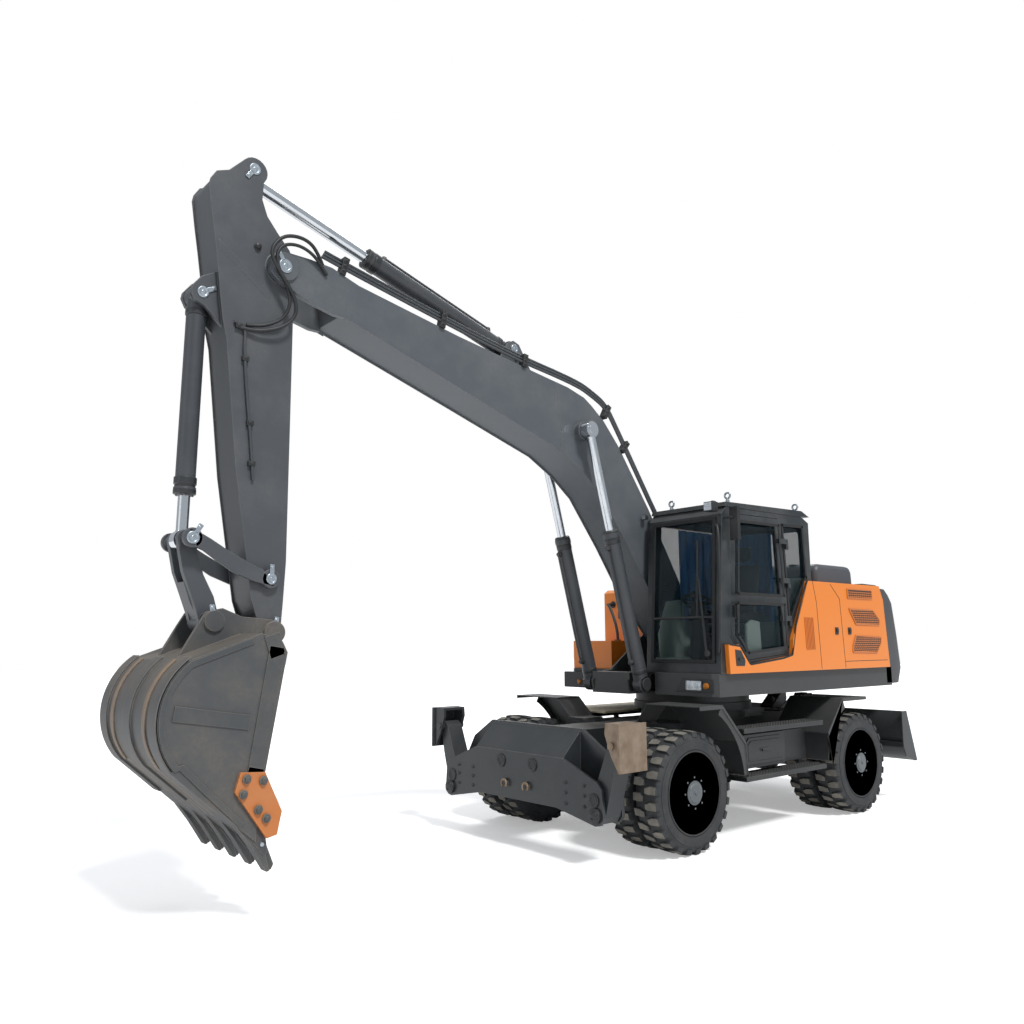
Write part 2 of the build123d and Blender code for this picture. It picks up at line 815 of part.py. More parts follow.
# ---- bodywork -----------------------------------------------------------------------------
front_panel = [
    (850, deck_z + seat_gap),
    (865, 1790),
    (710, 1790),
    (540, 1600),
    (-205, 1675),
    (-225, 1836),
    (-440, 2221),
    (-550, hood_z),
    (-760, hood_z),
    (-760, deck_z + seat_gap),
]
rear_panel = [
    (-760, deck_z + seat_gap),
    (-760, hood_z),
    (-2050, hood_z),
    (-2130, 2280),
    (body_rear, deck_z + seat_gap),
]
wall_sheet = 22.0
housing_in = 560.0
with BuildPart() as left_housing:
    side_slab(front_panel, cab_left + seat_gap, panel_y)
    side_slab(rear_panel, housing_in, panel_y)
    hollow = [
        (-760 - wall_sheet, deck_z + wall_sheet),
        (-760 - wall_sheet, hood_z - wall_sheet),
        (-2030, hood_z - wall_sheet),
        (-2108, 2270),
        (body_rear + wall_sheet, deck_z + wall_sheet),
    ]
    side_slab(hollow, housing_in + wall_sheet, panel_y - wall_sheet, Mode.SUBTRACT)
left_housing.part.label = "left_housing"
export_step(left_housing.part, "parts/left_housing.step")

tank_panel = [
    (-100, deck_z + seat_gap),
    (-100, hood_z - 40),
    (-160, hood_z),
    (-2050, hood_z),
    (-2130, 2280),
    (body_rear, deck_z + seat_gap),
]
tank_hollow = [
    (-760, deck_z + wall_sheet),
    (-760, hood_z - wall_sheet),
    (-2030, hood_z - wall_sheet),
    (-2108, 2270),
    (body_rear + wall_sheet, deck_z + wall_sheet),
]
tank_space = [
    (-122, deck_z + wall_sheet),
    (-122, hood_z - 60),
    (-738, hood_z - 60),
    (-738, deck_z + wall_sheet),
]
with BuildPart() as right_housing:
    side_slab(tank_panel, -panel_y, -housing_in)
    side_slab(tank_hollow, -panel_y + wall_sheet, -housing_in - wall_sheet, Mode.SUBTRACT)
    side_slab(tank_space, -panel_y + wall_sheet, -housing_in - wall_sheet, Mode.SUBTRACT)
    block(-101, 480, -panel_y + 45, -600, deck_z + seat_gap, 1830)
    block(-101 + wall_sheet, 458, -panel_y + 67, -622, deck_z + wall_sheet, 1808, Mode.SUBTRACT)
right_housing.part.label = "right_housing"
export_step(right_housing.part, "parts/right_housing.step")

with BuildPart() as hood:
    hood_outline = [
        (-770, 2200),
        (-770, hood_z),
        (-900, hood_z + 20),
        (-2060, hood_z + 20),
        (-2140, 2290),
        (-2160, 2200),
    ]
    side_slab(hood_outline, -housing_in + seat_gap, housing_in - seat_gap)
    hood_space = [
        (-792, 2222),
        (-792, hood_z - 22),
        (-910, hood_z - 2),
        (-2045, hood_z - 2),
        (-2118, 2285),
        (-2132, 2222),
    ]
    side_slab(hood_space, -housing_in + 22, housing_in - 22, Mode.SUBTRACT)
    post(-1500, -250, 60, hood_z, hood_z + 190)
hood.part.label = "hood"
export_step(hood.part, "parts/hood.step")

with BuildPart() as engine:
    block(-2020, -1510, -450, 450, deck_z + seat_gap, 2120)
engine.part.label = "engine"
export_step(engine.part, "parts/engine.step")

# ---- cab ----------------------------------------------------------------------------------
cab_outline = [
    (930, deck_z + seat_gap),
    (925, 1640),
    (830, 3030),
    (760, 3105),
    (-560, 3118),
    (-690, 3060),
    (-700, deck_z + seat_gap),
]
cab_space = [
    (930 - cab_wall, deck_z + 20),
    (925 - cab_wall, 1640),
    (832 - cab_wall, 3000),
    (750, 3060),
    (-560, 3070),
    (-690 + cab_wall, 3030),
    (-700 + cab_wall, deck_z + 20),
]
door_outline = [
    (-200, 1690),
    (-110, 3060),
    (690, 3050),
    (775, 1860),
    (560, 1632),
]
hinge_levels = (2020.0, 2400.0, 2800.0)
hinge_height = 50.0
hinge_pin = 9.0
with BuildPart() as cab_shell:
    side_slab(cab_outline, cab_right, cab_left)
    side_slab(cab_space, cab_right + cab_wall, cab_left - cab_wall, Mode.SUBTRACT)
    # windscreen, cut through the front wall
    with BuildSketch(front(700)):
        with Locations(((cab_right + cab_left) / 2, 2310)):
            RectangleRounded(cab_left - cab_right - 150, 1370, 40)
    extrude(amount=300, mode=Mode.SUBTRACT)
    # rear window
    with BuildSketch(front(-760)):
        with Locations(((cab_right + cab_left) / 2, 2740)):
            RectangleRounded(cab_left - cab_right - 200, 480, 40)
    extrude(amount=200, mode=Mode.SUBTRACT)
    # door opening
    side_slab(door_outline, cab_left - 2 * cab_wall, cab_left + 5, Mode.SUBTRACT)
    # left rear window
    rear_light = [(-245, 2010), (-185, 3000), (-560, 3010), (-590, 2480)]
    side_slab(rear_light, cab_left - 2 * cab_wall, cab_left + 5, Mode.SUBTRACT)
    # right windows
    right_light = [(-560, 1980), (-560, 3000), (690, 3000), (770, 1980)]
    side_slab(right_light, cab_right - 5, cab_right + 2 * cab_wall, Mode.SUBTRACT)
    # door hinges, each a knuckle under the door's own with a pin standing up into it
    for level in hinge_levels:
        low_x = door_hinge_x - 40
        block(low_x, door_hinge_x + 10, cab_left - 1, door_hinge_y, level - hinge_height, level)
        post(door_hinge_x, door_hinge_y, 16, level - hinge_height, level)
        post(door_hinge_x, door_hinge_y, hinge_pin, level, level + hinge_height)
cab_shell.part.label = "cab_shell"
export_step(cab_shell.part, "parts/cab_shell.step")

with BuildPart() as cab_roof:
    side_slab(
        [(785, 3106.5), (765, cab_roof_z), (-560, cab_roof_z + 30), (-705, 3125), (-560, 3118.6)],
        cab_right - 8,
        cab_left + 8,
    )
cab_roof.part.label = "cab_roof"
export_step(cab_roof.part, "parts/cab_roof.step")


def shrunk(points, margin):
    """An outline moved in towards its middle by about margin."""
    cx = sum(u for u, v in points) / len(points)
    cz = sum(v for u, v in points) / len(points)
    moved = []
    for u, v in points:
        reach = hypot(u - cx, v - cz)
        share = (reach - margin) / reach
        moved.append((cx + (u - cx) * share, cz + (v - cz) * share))
    return moved


with BuildPart() as cab_glass:
    screen = [(912, 1600), (912 - glass, 1600), (812 - glass, 3020), (812, 3020)]
    side_slab(screen, cab_right, cab_left)
    with BuildSketch(front(700)):
        with Locations(((cab_right + cab_left) / 2, 2310)):
            RectangleRounded(cab_left - cab_right - 151, 1369, 39.5)
    extrude(amount=300, mode=Mode.INTERSECT)
    with BuildSketch(front(-685)):
        with Locations(((cab_right + cab_left) / 2, 2740)):
            RectangleRounded(cab_left - cab_right - 201, 479, 39.5)
    extrude(amount=glass)
    side_slab(shrunk(rear_light, pane_gap), cab_left - 30, cab_left - 30 + glass)
    side_slab(shrunk(right_light, pane_gap), cab_right + 20, cab_right + 20 + glass)
cab_glass.part.label = "cab_glass"
export_step(cab_glass.part, "parts/cab_glass.step")

with BuildPart() as seat:
    block(-60, 420, 500, 980, 1860, 1990)
    side_slab([(-55, 1980), (60, 1980), (-60, 2620), (-180, 2600)], 510, 970)
    block(0, 360, 560, 920, deck_z + 20 + seat_gap, 1860)
    for arm_y in (420, 980):
        block(-20, 410, arm_y, arm_y + 80, 1950, 2110)
seat.part.label = "seat"
export_step(seat.part, "parts/seat.step")

with BuildPart() as console:
    side_slab(
        [(560, deck_z + 20 + seat_gap), (740, deck_z + 20 + seat_gap), (665, 2215), (585, 2185)],
        680,
        800,
    )
    with BuildSketch(Plane(origin=(mid_x + 600, 740, 2180), x_dir=(0, 1, 0), z_dir=(-0.5, 0, 1))):
        Circle(190)
        Circle(165, mode=Mode.SUBTRACT)
        Rectangle(360, 30)
        Circle(45)
    extrude(amount=24)
console.part.label = "console"
export_step(console.part, "parts/console.step")

door_gap = 6.0
door_frame = shrunk(door_outline, door_gap + 2)
with BuildPart() as cab_door:
    side_slab(door_frame, cab_left - cab_wall + 5, cab_left)
    upper_light = [(-100, 2270), (-60, 2980), (620, 2970), (670, 2270)]
    lower_light = [(-125, 1760), (-104, 2180), (676, 2180), (700, 1880), (540, 1710)]
    side_slab(upper_light, cab_left - 2 * cab_wall, cab_left + 5, Mode.SUBTRACT)
    side_slab(lower_light, cab_left - 2 * cab_wall, cab_left + 5, Mode.SUBTRACT)
    for level in hinge_levels:
        low_z, high_z = level + seat_gap, level + hinge_height
        block(door_hinge_x, -70, cab_left + clear + 2, door_hinge_y + 12, low_z, high_z)
        block(-96, -70, cab_left - 1, cab_left + clear + 3, low_z, high_z)
        post(door_hinge_x, door_hinge_y, 18, low_z, high_z)
        post(door_hinge_x, door_hinge_y, hinge_pin + pin_gap, low_z, high_z, Mode.SUBTRACT)
    block(700, 728, cab_left - 1, cab_left + 42, 2040, 2160)
cab_door.part.label = "cab_door"
export_step(cab_door.part, "parts/cab_door.step")

with BuildPart() as door_glass:
    side_slab(shrunk(upper_light, pane_gap), cab_left - 26, cab_left - 26 + glass)
    side_slab(shrunk(lower_light, pane_gap), cab_left - 26, cab_left - 26 + glass)
door_glass.part.label = "door_glass"
export_step(door_glass.part, "parts/door_glass.step")

# ---- boom ---------------------------------------------------------------------------------
boom_top = [
    (4508, 4785),
    (4285, 4676),
    (3240, 4413),
    (2184, 4245),
    (1700, 4195),
    (1400, 4030),
    (1193, 3759),
    (742, 3207),
    (foot_x - 130, foot_z + 150),
]
boom_under = [
    (foot_x + 185, foot_z - 25),
    (700, 2240),
    (1090, 2795),
    (1470, 3283),
    (1718, 3478),
    (2030, 3652),
    (2997, 3965),
    (4473, 4401),
]
boom_core_top = [
    (4470, 4750),
    (4285, 4660),
    (3240, 4397),
    (2184, 4229),
    (1710, 4178),
    (1412, 4016),
    (1206, 3748),
    (755, 3196),
    (foot_x + 120, foot_z + 330),
]
boom_core_under = [
    (foot_x + 300, foot_z + 200),
    (690, 2255),
    (1078, 2806),
    (1460, 3296),
    (1710, 3491),
    (2024, 3667),
    (2993, 3981),
    (4455, 4413),
]
with BuildPart() as boom:
    side_slab(boom_top + boom_under, -boom_half, boom_half)
    cross_pin(foot_x, foot_z, 135, -boom_half, boom_half)
    side_slab(boom_core_top + boom_core_under, -boom_half + 12, boom_half - 12, Mode.SUBTRACT)
    nose = [
        (4400, 4740),
        (4508, 4785),
        (4700, 4800),
        (4900, 4800),
        (5020, 4740),
        (5030, 4620),
        (4960, 4560),
        (4744, 4465),
        (4473, 4401),
        (4400, 4400),
    ]
    for hand in (1, -1):
        low, high = span(hand, fork_inner, boom_half + 8)
        side_slab(nose, low, high)
        low, high = span(hand, fork_inner, boom_half + 30)
        cross_pin(arm_pivot_x, arm_pivot_z, 112, low, high)
        low, high = span(hand, boom_half - 1, boom_cylinder_y - 46 - clear)
        cross_pin(boom_eye_x, boom_eye_z, 95, low, high)
        low, high = span(hand, 90, 115)
        ear = [
            (arm_base_x - 330, 4240),
            (arm_base_x - 70, arm_base_z + 60),
            (arm_base_x, arm_base_z + 85),
            (arm_base_x + 70, arm_base_z + 50),
            (arm_base_x + 260, 4300),
        ]
        side_slab(ear, low, high)
    cross_pin(arm_pivot_x, arm_pivot_z, arm_pin_radius, -fork_inner - 2, fork_inner + 2)
    cross_pin(arm_base_x, arm_base_z, 45, -128, 128)
    cross_pin(foot_x, foot_z, foot_pin_radius + pin_gap, -boom_half - 1, boom_half + 1, Mode.SUBTRACT)
boom.part.label = "boom"
export_step(boom.part, "parts/boom.step")

boom_base = (boom_base_x, boom_base_z)
boom_eye = (boom_eye_x, boom_eye_z)
with BuildPart() as boom_barrels:
    for hand in (1, -1):
        barrel(boom_base, boom_eye, hand * boom_cylinder_y, 74, 43, 82, 46, 42, 1520)
boom_barrels.part.label = "boom_barrels"
export_step(boom_barrels.part, "parts/boom_barrels.step")
with BuildPart() as boom_rods:
    for hand in (1, -1):
        rod(boom_base, boom_eye, hand * boom_cylinder_y, 43, 80, 46, 42, 1060)
boom_rods.part.label = "boom_rods"
export_step(boom_rods.part, "parts/boom_rods.step")

# ---- arm ----------------------------------------------------------------------------------
arm_outline = [
    (4800, 4290),
    (4795, 3500),
    (4790, 2420),
    (4803, 2134),
    (4815, 1930),
    (4860, 1835),
    (4930, 1838),
    (4975, 1915),
    (5050, 2134),
    (5130, 2600),
    (5205, 3056),
    (5320, 4052),
    (5330, 4240),
    (5340, 4460),
    (5420, 4640),
    (5470, 4900),
    (5400, 5080),
    (5190, 5230),
    (5100, 5140),
    (4939, 4900),
    (4800, 4740),
]
arm_core = [
    (4818, 4290),
    (4813, 3500),
    (4808, 2420),
    (4822, 2134),
    (4834, 2020),
    (4960, 2020),
    (5032, 2140),
    (5113, 2606),
    (5187, 3060),
    (5302, 4054),
    (5312, 4240),
    (5322, 4464),
    (5402, 4644),
    (5450, 4892),
    (5386, 5064),
    (5192, 5205),
    (5113, 5128),
    (5060, 4900),
    (5060, 4500),
]
bucket_base = (bucket_base_x, bucket_base_z)
with BuildPart() as arm:
    side_slab(arm_outline, -arm_half, arm_half)
    cross_pin(arm_pivot_x, arm_pivot_z, 128, -arm_half, arm_half)
    side_slab(arm_core, -arm_half + 12, arm_half - 12, Mode.SUBTRACT)
    cross_pin(bucket_pivot_x, bucket_pivot_z, 82, -arm_half, arm_half)
    for hand in (1, -1):
        low, high = span(hand, 74, 104)
        head = [
            (5100, 5140),
            (5050, 5420),
            (5100, 5500),
            (5190, 5510),
            (5300, 5450),
            (5540, 5180),
            (5600, 5040),
            (5560, 4720),
            (5420, 4640),
            (5200, 4900),
        ]
        side_slab(head, low, high)
        low, high = span(hand, 78, 106)
        base_ear = [
            (5370, 4560),
            (5530, 4450),
            (5565, 4360),
            (5520, 4275),
            (5310, 4120),
            (5310, 4400),
        ]
        side_slab(base_ear, low, high)
        low, high = span(hand, arm_half - 1, arm_half + 14)
        cross_pin(idler_x, idler_z, 62, low, high)
    cross_pin(bucket_base_x, bucket_base_z, 38, -116, 116)
    cross_pin(idler_x, idler_z, 38, -arm_half - 50, arm_half + 50)
    cross_pin(
        arm_pivot_x, arm_pivot_z, arm_pin_radius + pin_gap, -arm_half - 1, arm_half + 1, Mode.SUBTRACT
    )
    cross_pin(bucket_pivot_x, bucket_pivot_z, 40 + pin_gap, -arm_half - 1, arm_half + 1, Mode.SUBTRACT)
arm.part.label = "arm"
export_step(arm.part, "parts/arm.step")

arm_base = (arm_base_x, arm_base_z)
arm_eye = (arm_eye_x, arm_eye_z)
with BuildPart() as arm_barrel:
    barrel(arm_base, arm_eye, 0, 80, 50, 88, 75, 45, 1640)
arm_barrel.part.label = "arm_barrel"
export_step(arm_barrel.part, "parts/arm_barrel.step")
with BuildPart() as arm_rod:
    rod(arm_base, arm_eye, 0, 50, 88, 60, 45, 1150)
arm_rod.part.label = "arm_rod"
export_step(arm_rod.part, "parts/arm_rod.step")

joint = (joint_x, joint_z)
with BuildPart() as bucket_barrel:
    barrel(bucket_base, joint, 0, 70, 42, 76, 65, 38, 1480)
bucket_barrel.part.label = "bucket_barrel"
export_step(bucket_barrel.part, "parts/bucket_barrel.step")
with BuildPart() as bucket_rod:
    rod(bucket_base, joint, 0, 42, 72, 48, 38, 300)
bucket_rod.part.label = "bucket_rod"
export_step(bucket_rod.part, "parts/bucket_rod.step")


def bar_outline(start, end, start_radius, end_radius):
    """A straight-sided link's outline between two round ends."""
    run = gap_between(start, end)
    ux, uz = (end[0] - start[0]) / run, (end[1] - start[1]) / run
    return [
        (start[0] - uz * start_radius, start[1] + ux * start_radius),
        (end[0] - uz * end_radius, end[1] + ux * end_radius),
        (end[0] + uz * end_radius, end[1] - ux * end_radius),
        (start[0] + uz * start_radius, start[1] - ux * start_radius),
    ]


idler = (idler_x, idler_z)
link = (link_x, link_z)
link_half = 110.0
idler_low = arm_half + 20
idler_high = arm_half + 50
with BuildPart() as idlers:
    for hand in (1, -1):
        low, high = span(hand, idler_low, idler_high)
        side_slab(bar_outline(idler, joint, 62, 62), low, high)
        cross_pin(idler_x, idler_z, 70, low, high)
        cross_pin(joint_x, joint_z, 70, low, high)
        cross_pin(idler_x, idler_z, 38 + pin_gap, low - 1, high + 1, Mode.SUBTRACT)
        low, high = span(hand, link_half + clear, idler_high)
        cross_pin(joint_x, joint_z, 46, low, high)
idlers.part.label = "idler_links"
export_step(idlers.part, "parts/idler_links.step")

with BuildPart() as bucket_link:
    for hand in (1, -1):
        low, high = span(hand, 60, link_half)
        side_slab(bar_outline(joint, link, 60, 60), low, high)
        cross_pin(joint_x, joint_z, 68, low, high)
    side_slab(
        bar_outline((joint_x - 95, joint_z - 305), link, 55, 58),
        -link_half,
        link_half,
    )
    cross_pin(link_x, link_z, 68, -link_half, link_half)
    cross_pin(link_x, link_z, 38 + pin_gap, -link_half - 1, link_half + 1, Mode.SUBTRACT)
bucket_link.part.label = "bucket_link"
export_step(bucket_link.part, "parts/bucket_link.step")

# ---- bucket -------------------------------------------------------------------------------
lip = (5132, 542)
floor_end = (5691, 1036)
back = (5800, 1330)
crown = (5620, 1715)
roof_end = (5137, 1889)
corner = (4991, 1835)
ear_in = arm_half + clear
ear_out = arm_half + clear + 30


def bucket_outer():
    """The closed side outline of the bucket, drawn inside a BuildLine."""
    Line(lip, floor_end)
    ThreePointArc(floor_end, back, crown)
    Polyline(crown, roof_end, corner, (4951, 1760), (5086, 959), (5120, 880), lip)


with BuildPart() as bucket:
    with BuildSketch(side(-bucket_half)):
        with BuildLine():
            bucket_outer()
        make_face()
    extrude(amount=-2 * bucket_half)
    with BuildSketch(side(-bucket_half + bucket_wall)):
        with BuildLine():
            Line((5122, 567), (5672, 1053))
            ThreePointArc((5672, 1053), (5775, 1330), (5606, 1694))
            Polyline((5606, 1694), (5130, 1862), (5000, 1822), (4900, 1790), (4900, 800), (5122, 567))
        make_face()
    extrude(amount=-2 * (bucket_half - bucket_wall), mode=Mode.SUBTRACT)
    # wear bands round the back
    for band_y in (-bucket_half, -70, bucket_half - 140):
        with BuildSketch(side(band_y)):
            with BuildLine():
                Line((5400, 779), floor_end)
                ThreePointArc(floor_end, back, crown)
                Line(crown, (5610, 1740))
                ThreePointArc((5610, 1740), (5816, 1330), (5704, 1024))
                Line((5704, 1024), (5412, 766))
                Line((5412, 766), (5400, 779))
            make_face()
        extrude(amount=-140)
    # ears for the arm and the link
    for hand in (1, -1):
        low, high = span(hand, ear_in, ear_out)
        ear = [
            (4860, 1815),
            (4812, 1880),
            (4830, 1960),
            (4900, 1990),
            (5130, 2010),
            (5270, 2066),
            (5386, 2040),
            (5440, 1950),
            (5556, 1745),
            (5564, 1722),
            (5137, 1875),
            (4991, 1822),
        ]
        side_slab(ear, low, high)
        low, high = span(hand, ear_in, ear_out + 22)
        cross_pin(bucket_pivot_x, bucket_pivot_z, 80, low, high)
        cross_pin(link_x, link_z, 72, low, high)
    cross_pin(bucket_pivot_x, bucket_pivot_z, 40, -ear_out, ear_out)
    cross_pin(link_x, link_z, 38, -ear_out, ear_out)
    # teeth
    for index in range(5):
        tooth_y = (index - 2) * tooth_pitch
        tooth = [
            (5085, 640),
            (5130, 600),
            (5235, 690),
            (5262, 655),
            (5160, 520),
            (tooth_tip_x + 18, tooth_tip_z),
            (tooth_tip_x, tooth_tip_z + 4),
            (5078, 540),
        ]
        side_slab(tooth, tooth_y - 42, tooth_y + 42)
bucket.part.label = "bucket"
export_step(bucket.part, "parts/bucket.step")

with BuildPart() as side_cutters:
    for hand in (1, -1):
        low, high = span(hand, bucket_half + seat_gap, bucket_half + 26)
        cutter = [
            (5262, 995),
            (5094, 983),
            (4968, 721),
            (4997, 575),
            (5068, 560),
            (5296, 874),
        ]
        side_slab(cutter, low, high)
side_cutters.part.label = "side_cutters"
export_step(side_cutters.part, "parts/side_cutters.step")

# ---- rails and mirrors --------------------------------------------------------------------
with BuildPart() as handrails:
    # right front rail over the tool box
    rail = 17.0
    for rail_y in (-1150, -660):
        post(430, rail_y, rail, 1830 + seat_gap, 2700)
        post(-60, rail_y, rail, 1830 + seat_gap, 2700)
        long_pin(rail_y, 2700, rail, -60, 430)
    cross_pin(430, 2700, rail, -1150, -660)
handrails.part.label = "handrails"
export_step(handrails.part, "parts/handrails.step")

with BuildPart() as mirror:
    cross_pin(790, 2990, 13, cab_left + seat_gap, 1290)
    long_pin(1278, 2990, 13, 770, 790)
    deck_slab([(728, 1240), (775, 1248), (775, 1338), (742, 1345)], 2770, 3090)
mirror.part.label = "mirror"
export_step(mirror.part, "parts/mirror.step")
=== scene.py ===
from math import atan2, cos, pi, radians, sin, sqrt

import bmesh
import bpy
from mathutils import Matrix, Vector


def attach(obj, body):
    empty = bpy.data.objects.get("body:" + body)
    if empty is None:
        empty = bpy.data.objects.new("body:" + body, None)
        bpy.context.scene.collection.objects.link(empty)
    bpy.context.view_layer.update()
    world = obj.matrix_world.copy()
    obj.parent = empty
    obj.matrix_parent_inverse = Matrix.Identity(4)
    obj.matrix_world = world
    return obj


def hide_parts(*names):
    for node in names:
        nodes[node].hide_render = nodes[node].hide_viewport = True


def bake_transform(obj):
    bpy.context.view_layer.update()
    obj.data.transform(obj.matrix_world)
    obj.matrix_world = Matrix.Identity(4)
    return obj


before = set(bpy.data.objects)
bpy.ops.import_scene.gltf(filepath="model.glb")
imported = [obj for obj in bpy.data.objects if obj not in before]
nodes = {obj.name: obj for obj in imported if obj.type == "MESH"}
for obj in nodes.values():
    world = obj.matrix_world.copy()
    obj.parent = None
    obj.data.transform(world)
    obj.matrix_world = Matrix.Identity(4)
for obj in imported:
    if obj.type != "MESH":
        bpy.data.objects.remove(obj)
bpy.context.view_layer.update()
scene = bpy.context.scene

# Lengths below are in millimetres. Stations along X count from midway between the axles, as on
# a maker's side view; the frame's own origin lies 1452 mm in front of that.
MID_X = -1452.0
AXLE_Z = 522.0
FRONT_AXLE_X = 1425.0
REAR_AXLE_X = -1425.0
FORWARD, ACROSS, UPWARD = (1, 0, 0), (0, 1, 0), (0, 0, 1)


def at(x, y, z):
    """A station in millimetres as a point of the frame in metres."""
    return Vector((x + MID_X, y, z)) / 1000


# ---- camera, studio and floor ---------------------------------------------------------------
def stand_camera():
    """A 36 mm wide sensor at eye height, turned to the cab side and tipped up a little."""
    yaw, pitch, roll = radians(40.364), radians(8.458), radians(-0.253)
    view = Vector((-sin(yaw) * cos(pitch), -cos(yaw) * cos(pitch), sin(pitch)))
    right = view.cross(Vector((0, 0, 1))).normalized()
    up = right.cross(view)
    right, up = cos(roll) * right + sin(roll) * up, cos(roll) * up - sin(roll) * right
    lens = bpy.data.cameras.new("yard_camera")
    lens.sensor_width = 36.0
    lens.lens = 870.55 / 1024 * 36
    lens.clip_end = 200
    camera = bpy.data.objects.new("yard_camera", lens)
    turn = Matrix((right, up, -view)).transposed().to_4x4()
    camera.matrix_world = Matrix.Translation(at(7687, 6176, 1827)) @ turn
    scene.collection.objects.link(camera)
    scene.camera = camera


def linear(code):
    """An sRGB hex colour as the linear RGBA that a shader takes."""
    channels = [int(code[i : i + 2], 16) / 255 for i in (0, 2, 4)]
    return [c / 12.92 if c <= 0.04045 else ((c + 0.055) / 1.055) ** 2.4 for c in channels] + [1.0]


# sockets of the Mix node when it mixes colours: two colours in, one out
COLOUR_A, COLOUR_B, COLOUR_OUT = 6, 7, 2


def add(tree, kind, links=None, **settings):
    """Adds a shader node, sets it up, and links or fills its inputs.

    A node given for an input stands for its first output, or its colour where it mixes colours.
    """
    node = tree.nodes.new("ShaderNode" + kind)
    for name, value in settings.items():
        setattr(node, name, value)
    for socket, value in (links or {}).items():
        if isinstance(value, bpy.types.Node):
            value = value.outputs[COLOUR_OUT if value.bl_idname == "ShaderNodeMix" else 0]
        if isinstance(value, bpy.types.NodeSocket):
            tree.links.new(value, node.inputs[socket])
        else:
            node.inputs[socket].default_value = value
    return node


def blank(name):
    """An empty material and its node tree."""
    finish = bpy.data.materials.new(name)
    finish.use_nodes = True
    finish.node_tree.nodes.clear()
    return finish, finish.node_tree


def light_studio():
    world = bpy.data.worlds.new("studio")
    scene.world = world
    world.use_nodes = True
    tree = world.node_tree
    tree.nodes.clear()
    path = add(tree, "LightPath").outputs
    seen = add(
        tree, "Math", {0: path["Is Camera Ray"], 1: path["Is Transmission Ray"]}, operation="MAXIMUM"
    )
    soft = add(tree, "Background", {"Color": linear("e9eef4"), "Strength": 0.58})
    white = add(tree, "Background", {"Color": (1, 1, 1, 1), "Strength": 1.0})
    mix = add(tree, "MixShader", {0: seen, 1: soft, 2: white})
    add(tree, "OutputWorld", {"Surface": mix})
    # name, direction the light comes from, strength, angle across in degrees
    for name, source, strength, angle in (
        ("key", (0.6, 7.0, 8.5), 2.55, 10.0),
        ("fill", (8.0, 0.5, 3.0), 0.22, 40.0),
        ("rim", (-6.0, -5.0, 6.0), 0.8, 30.0),
    ):
        lamp = bpy.data.lights.new(name, "SUN")
        lamp.energy = strength
        lamp.angle = radians(angle)
        light = bpy.data.objects.new(name, lamp)
        light.rotation_euler = Vector(source).to_track_quat("Z", "Y").to_euler()
        scene.collection.objects.link(light)


def lay_floor():
    mesh = bpy.data.meshes.new("floor")
    mesh.from_pydata([(-60, -60, 0), (60, -60, 0), (60, 60, 0), (-60, 60, 0)], [], [(0, 1, 2, 3)])
    floor = bpy.data.objects.new("floor", mesh)
    scene.collection.objects.link(floor)
    finish, tree = blank("pale_floor")
    path = add(tree, "LightPath").outputs
    matte = add(tree, "BsdfDiffuse", {"Color": linear("f4f4f4")})
    glow = add(tree, "Emission", {"Color": (1, 1, 1, 1), "Strength": 0.35})
    lifted = add(tree, "AddShader", {0: matte, 1: glow})
    mix = add(tree, "MixShader", {0: path["Is Camera Ray"], 1: matte, 2: lifted})
    add(tree, "OutputMaterial", {"Surface": mix})
    mesh.materials.append(finish)


stand_camera()
light_studio()
lay_floor()
scene.view_settings.view_transform = "Standard"


# ---- finishes -------------------------------------------------------------------------------
def rounded_edges(tree, radius):
    """Normals rounded over the edges by radius, in metres, and how near an edge each point is."""
    soft = add(tree, "Bevel", {"Radius": radius}, samples=4)
    flat = add(tree, "NewGeometry")
    match = add(tree, "VectorMath", {0: soft, 1: flat.outputs["Normal"]}, operation="DOT_PRODUCT")
    near = add(tree, "MapRange", {"Value": match.outputs["Value"], "From Min": 0.995, "From Max": 0.9})
    return soft, near


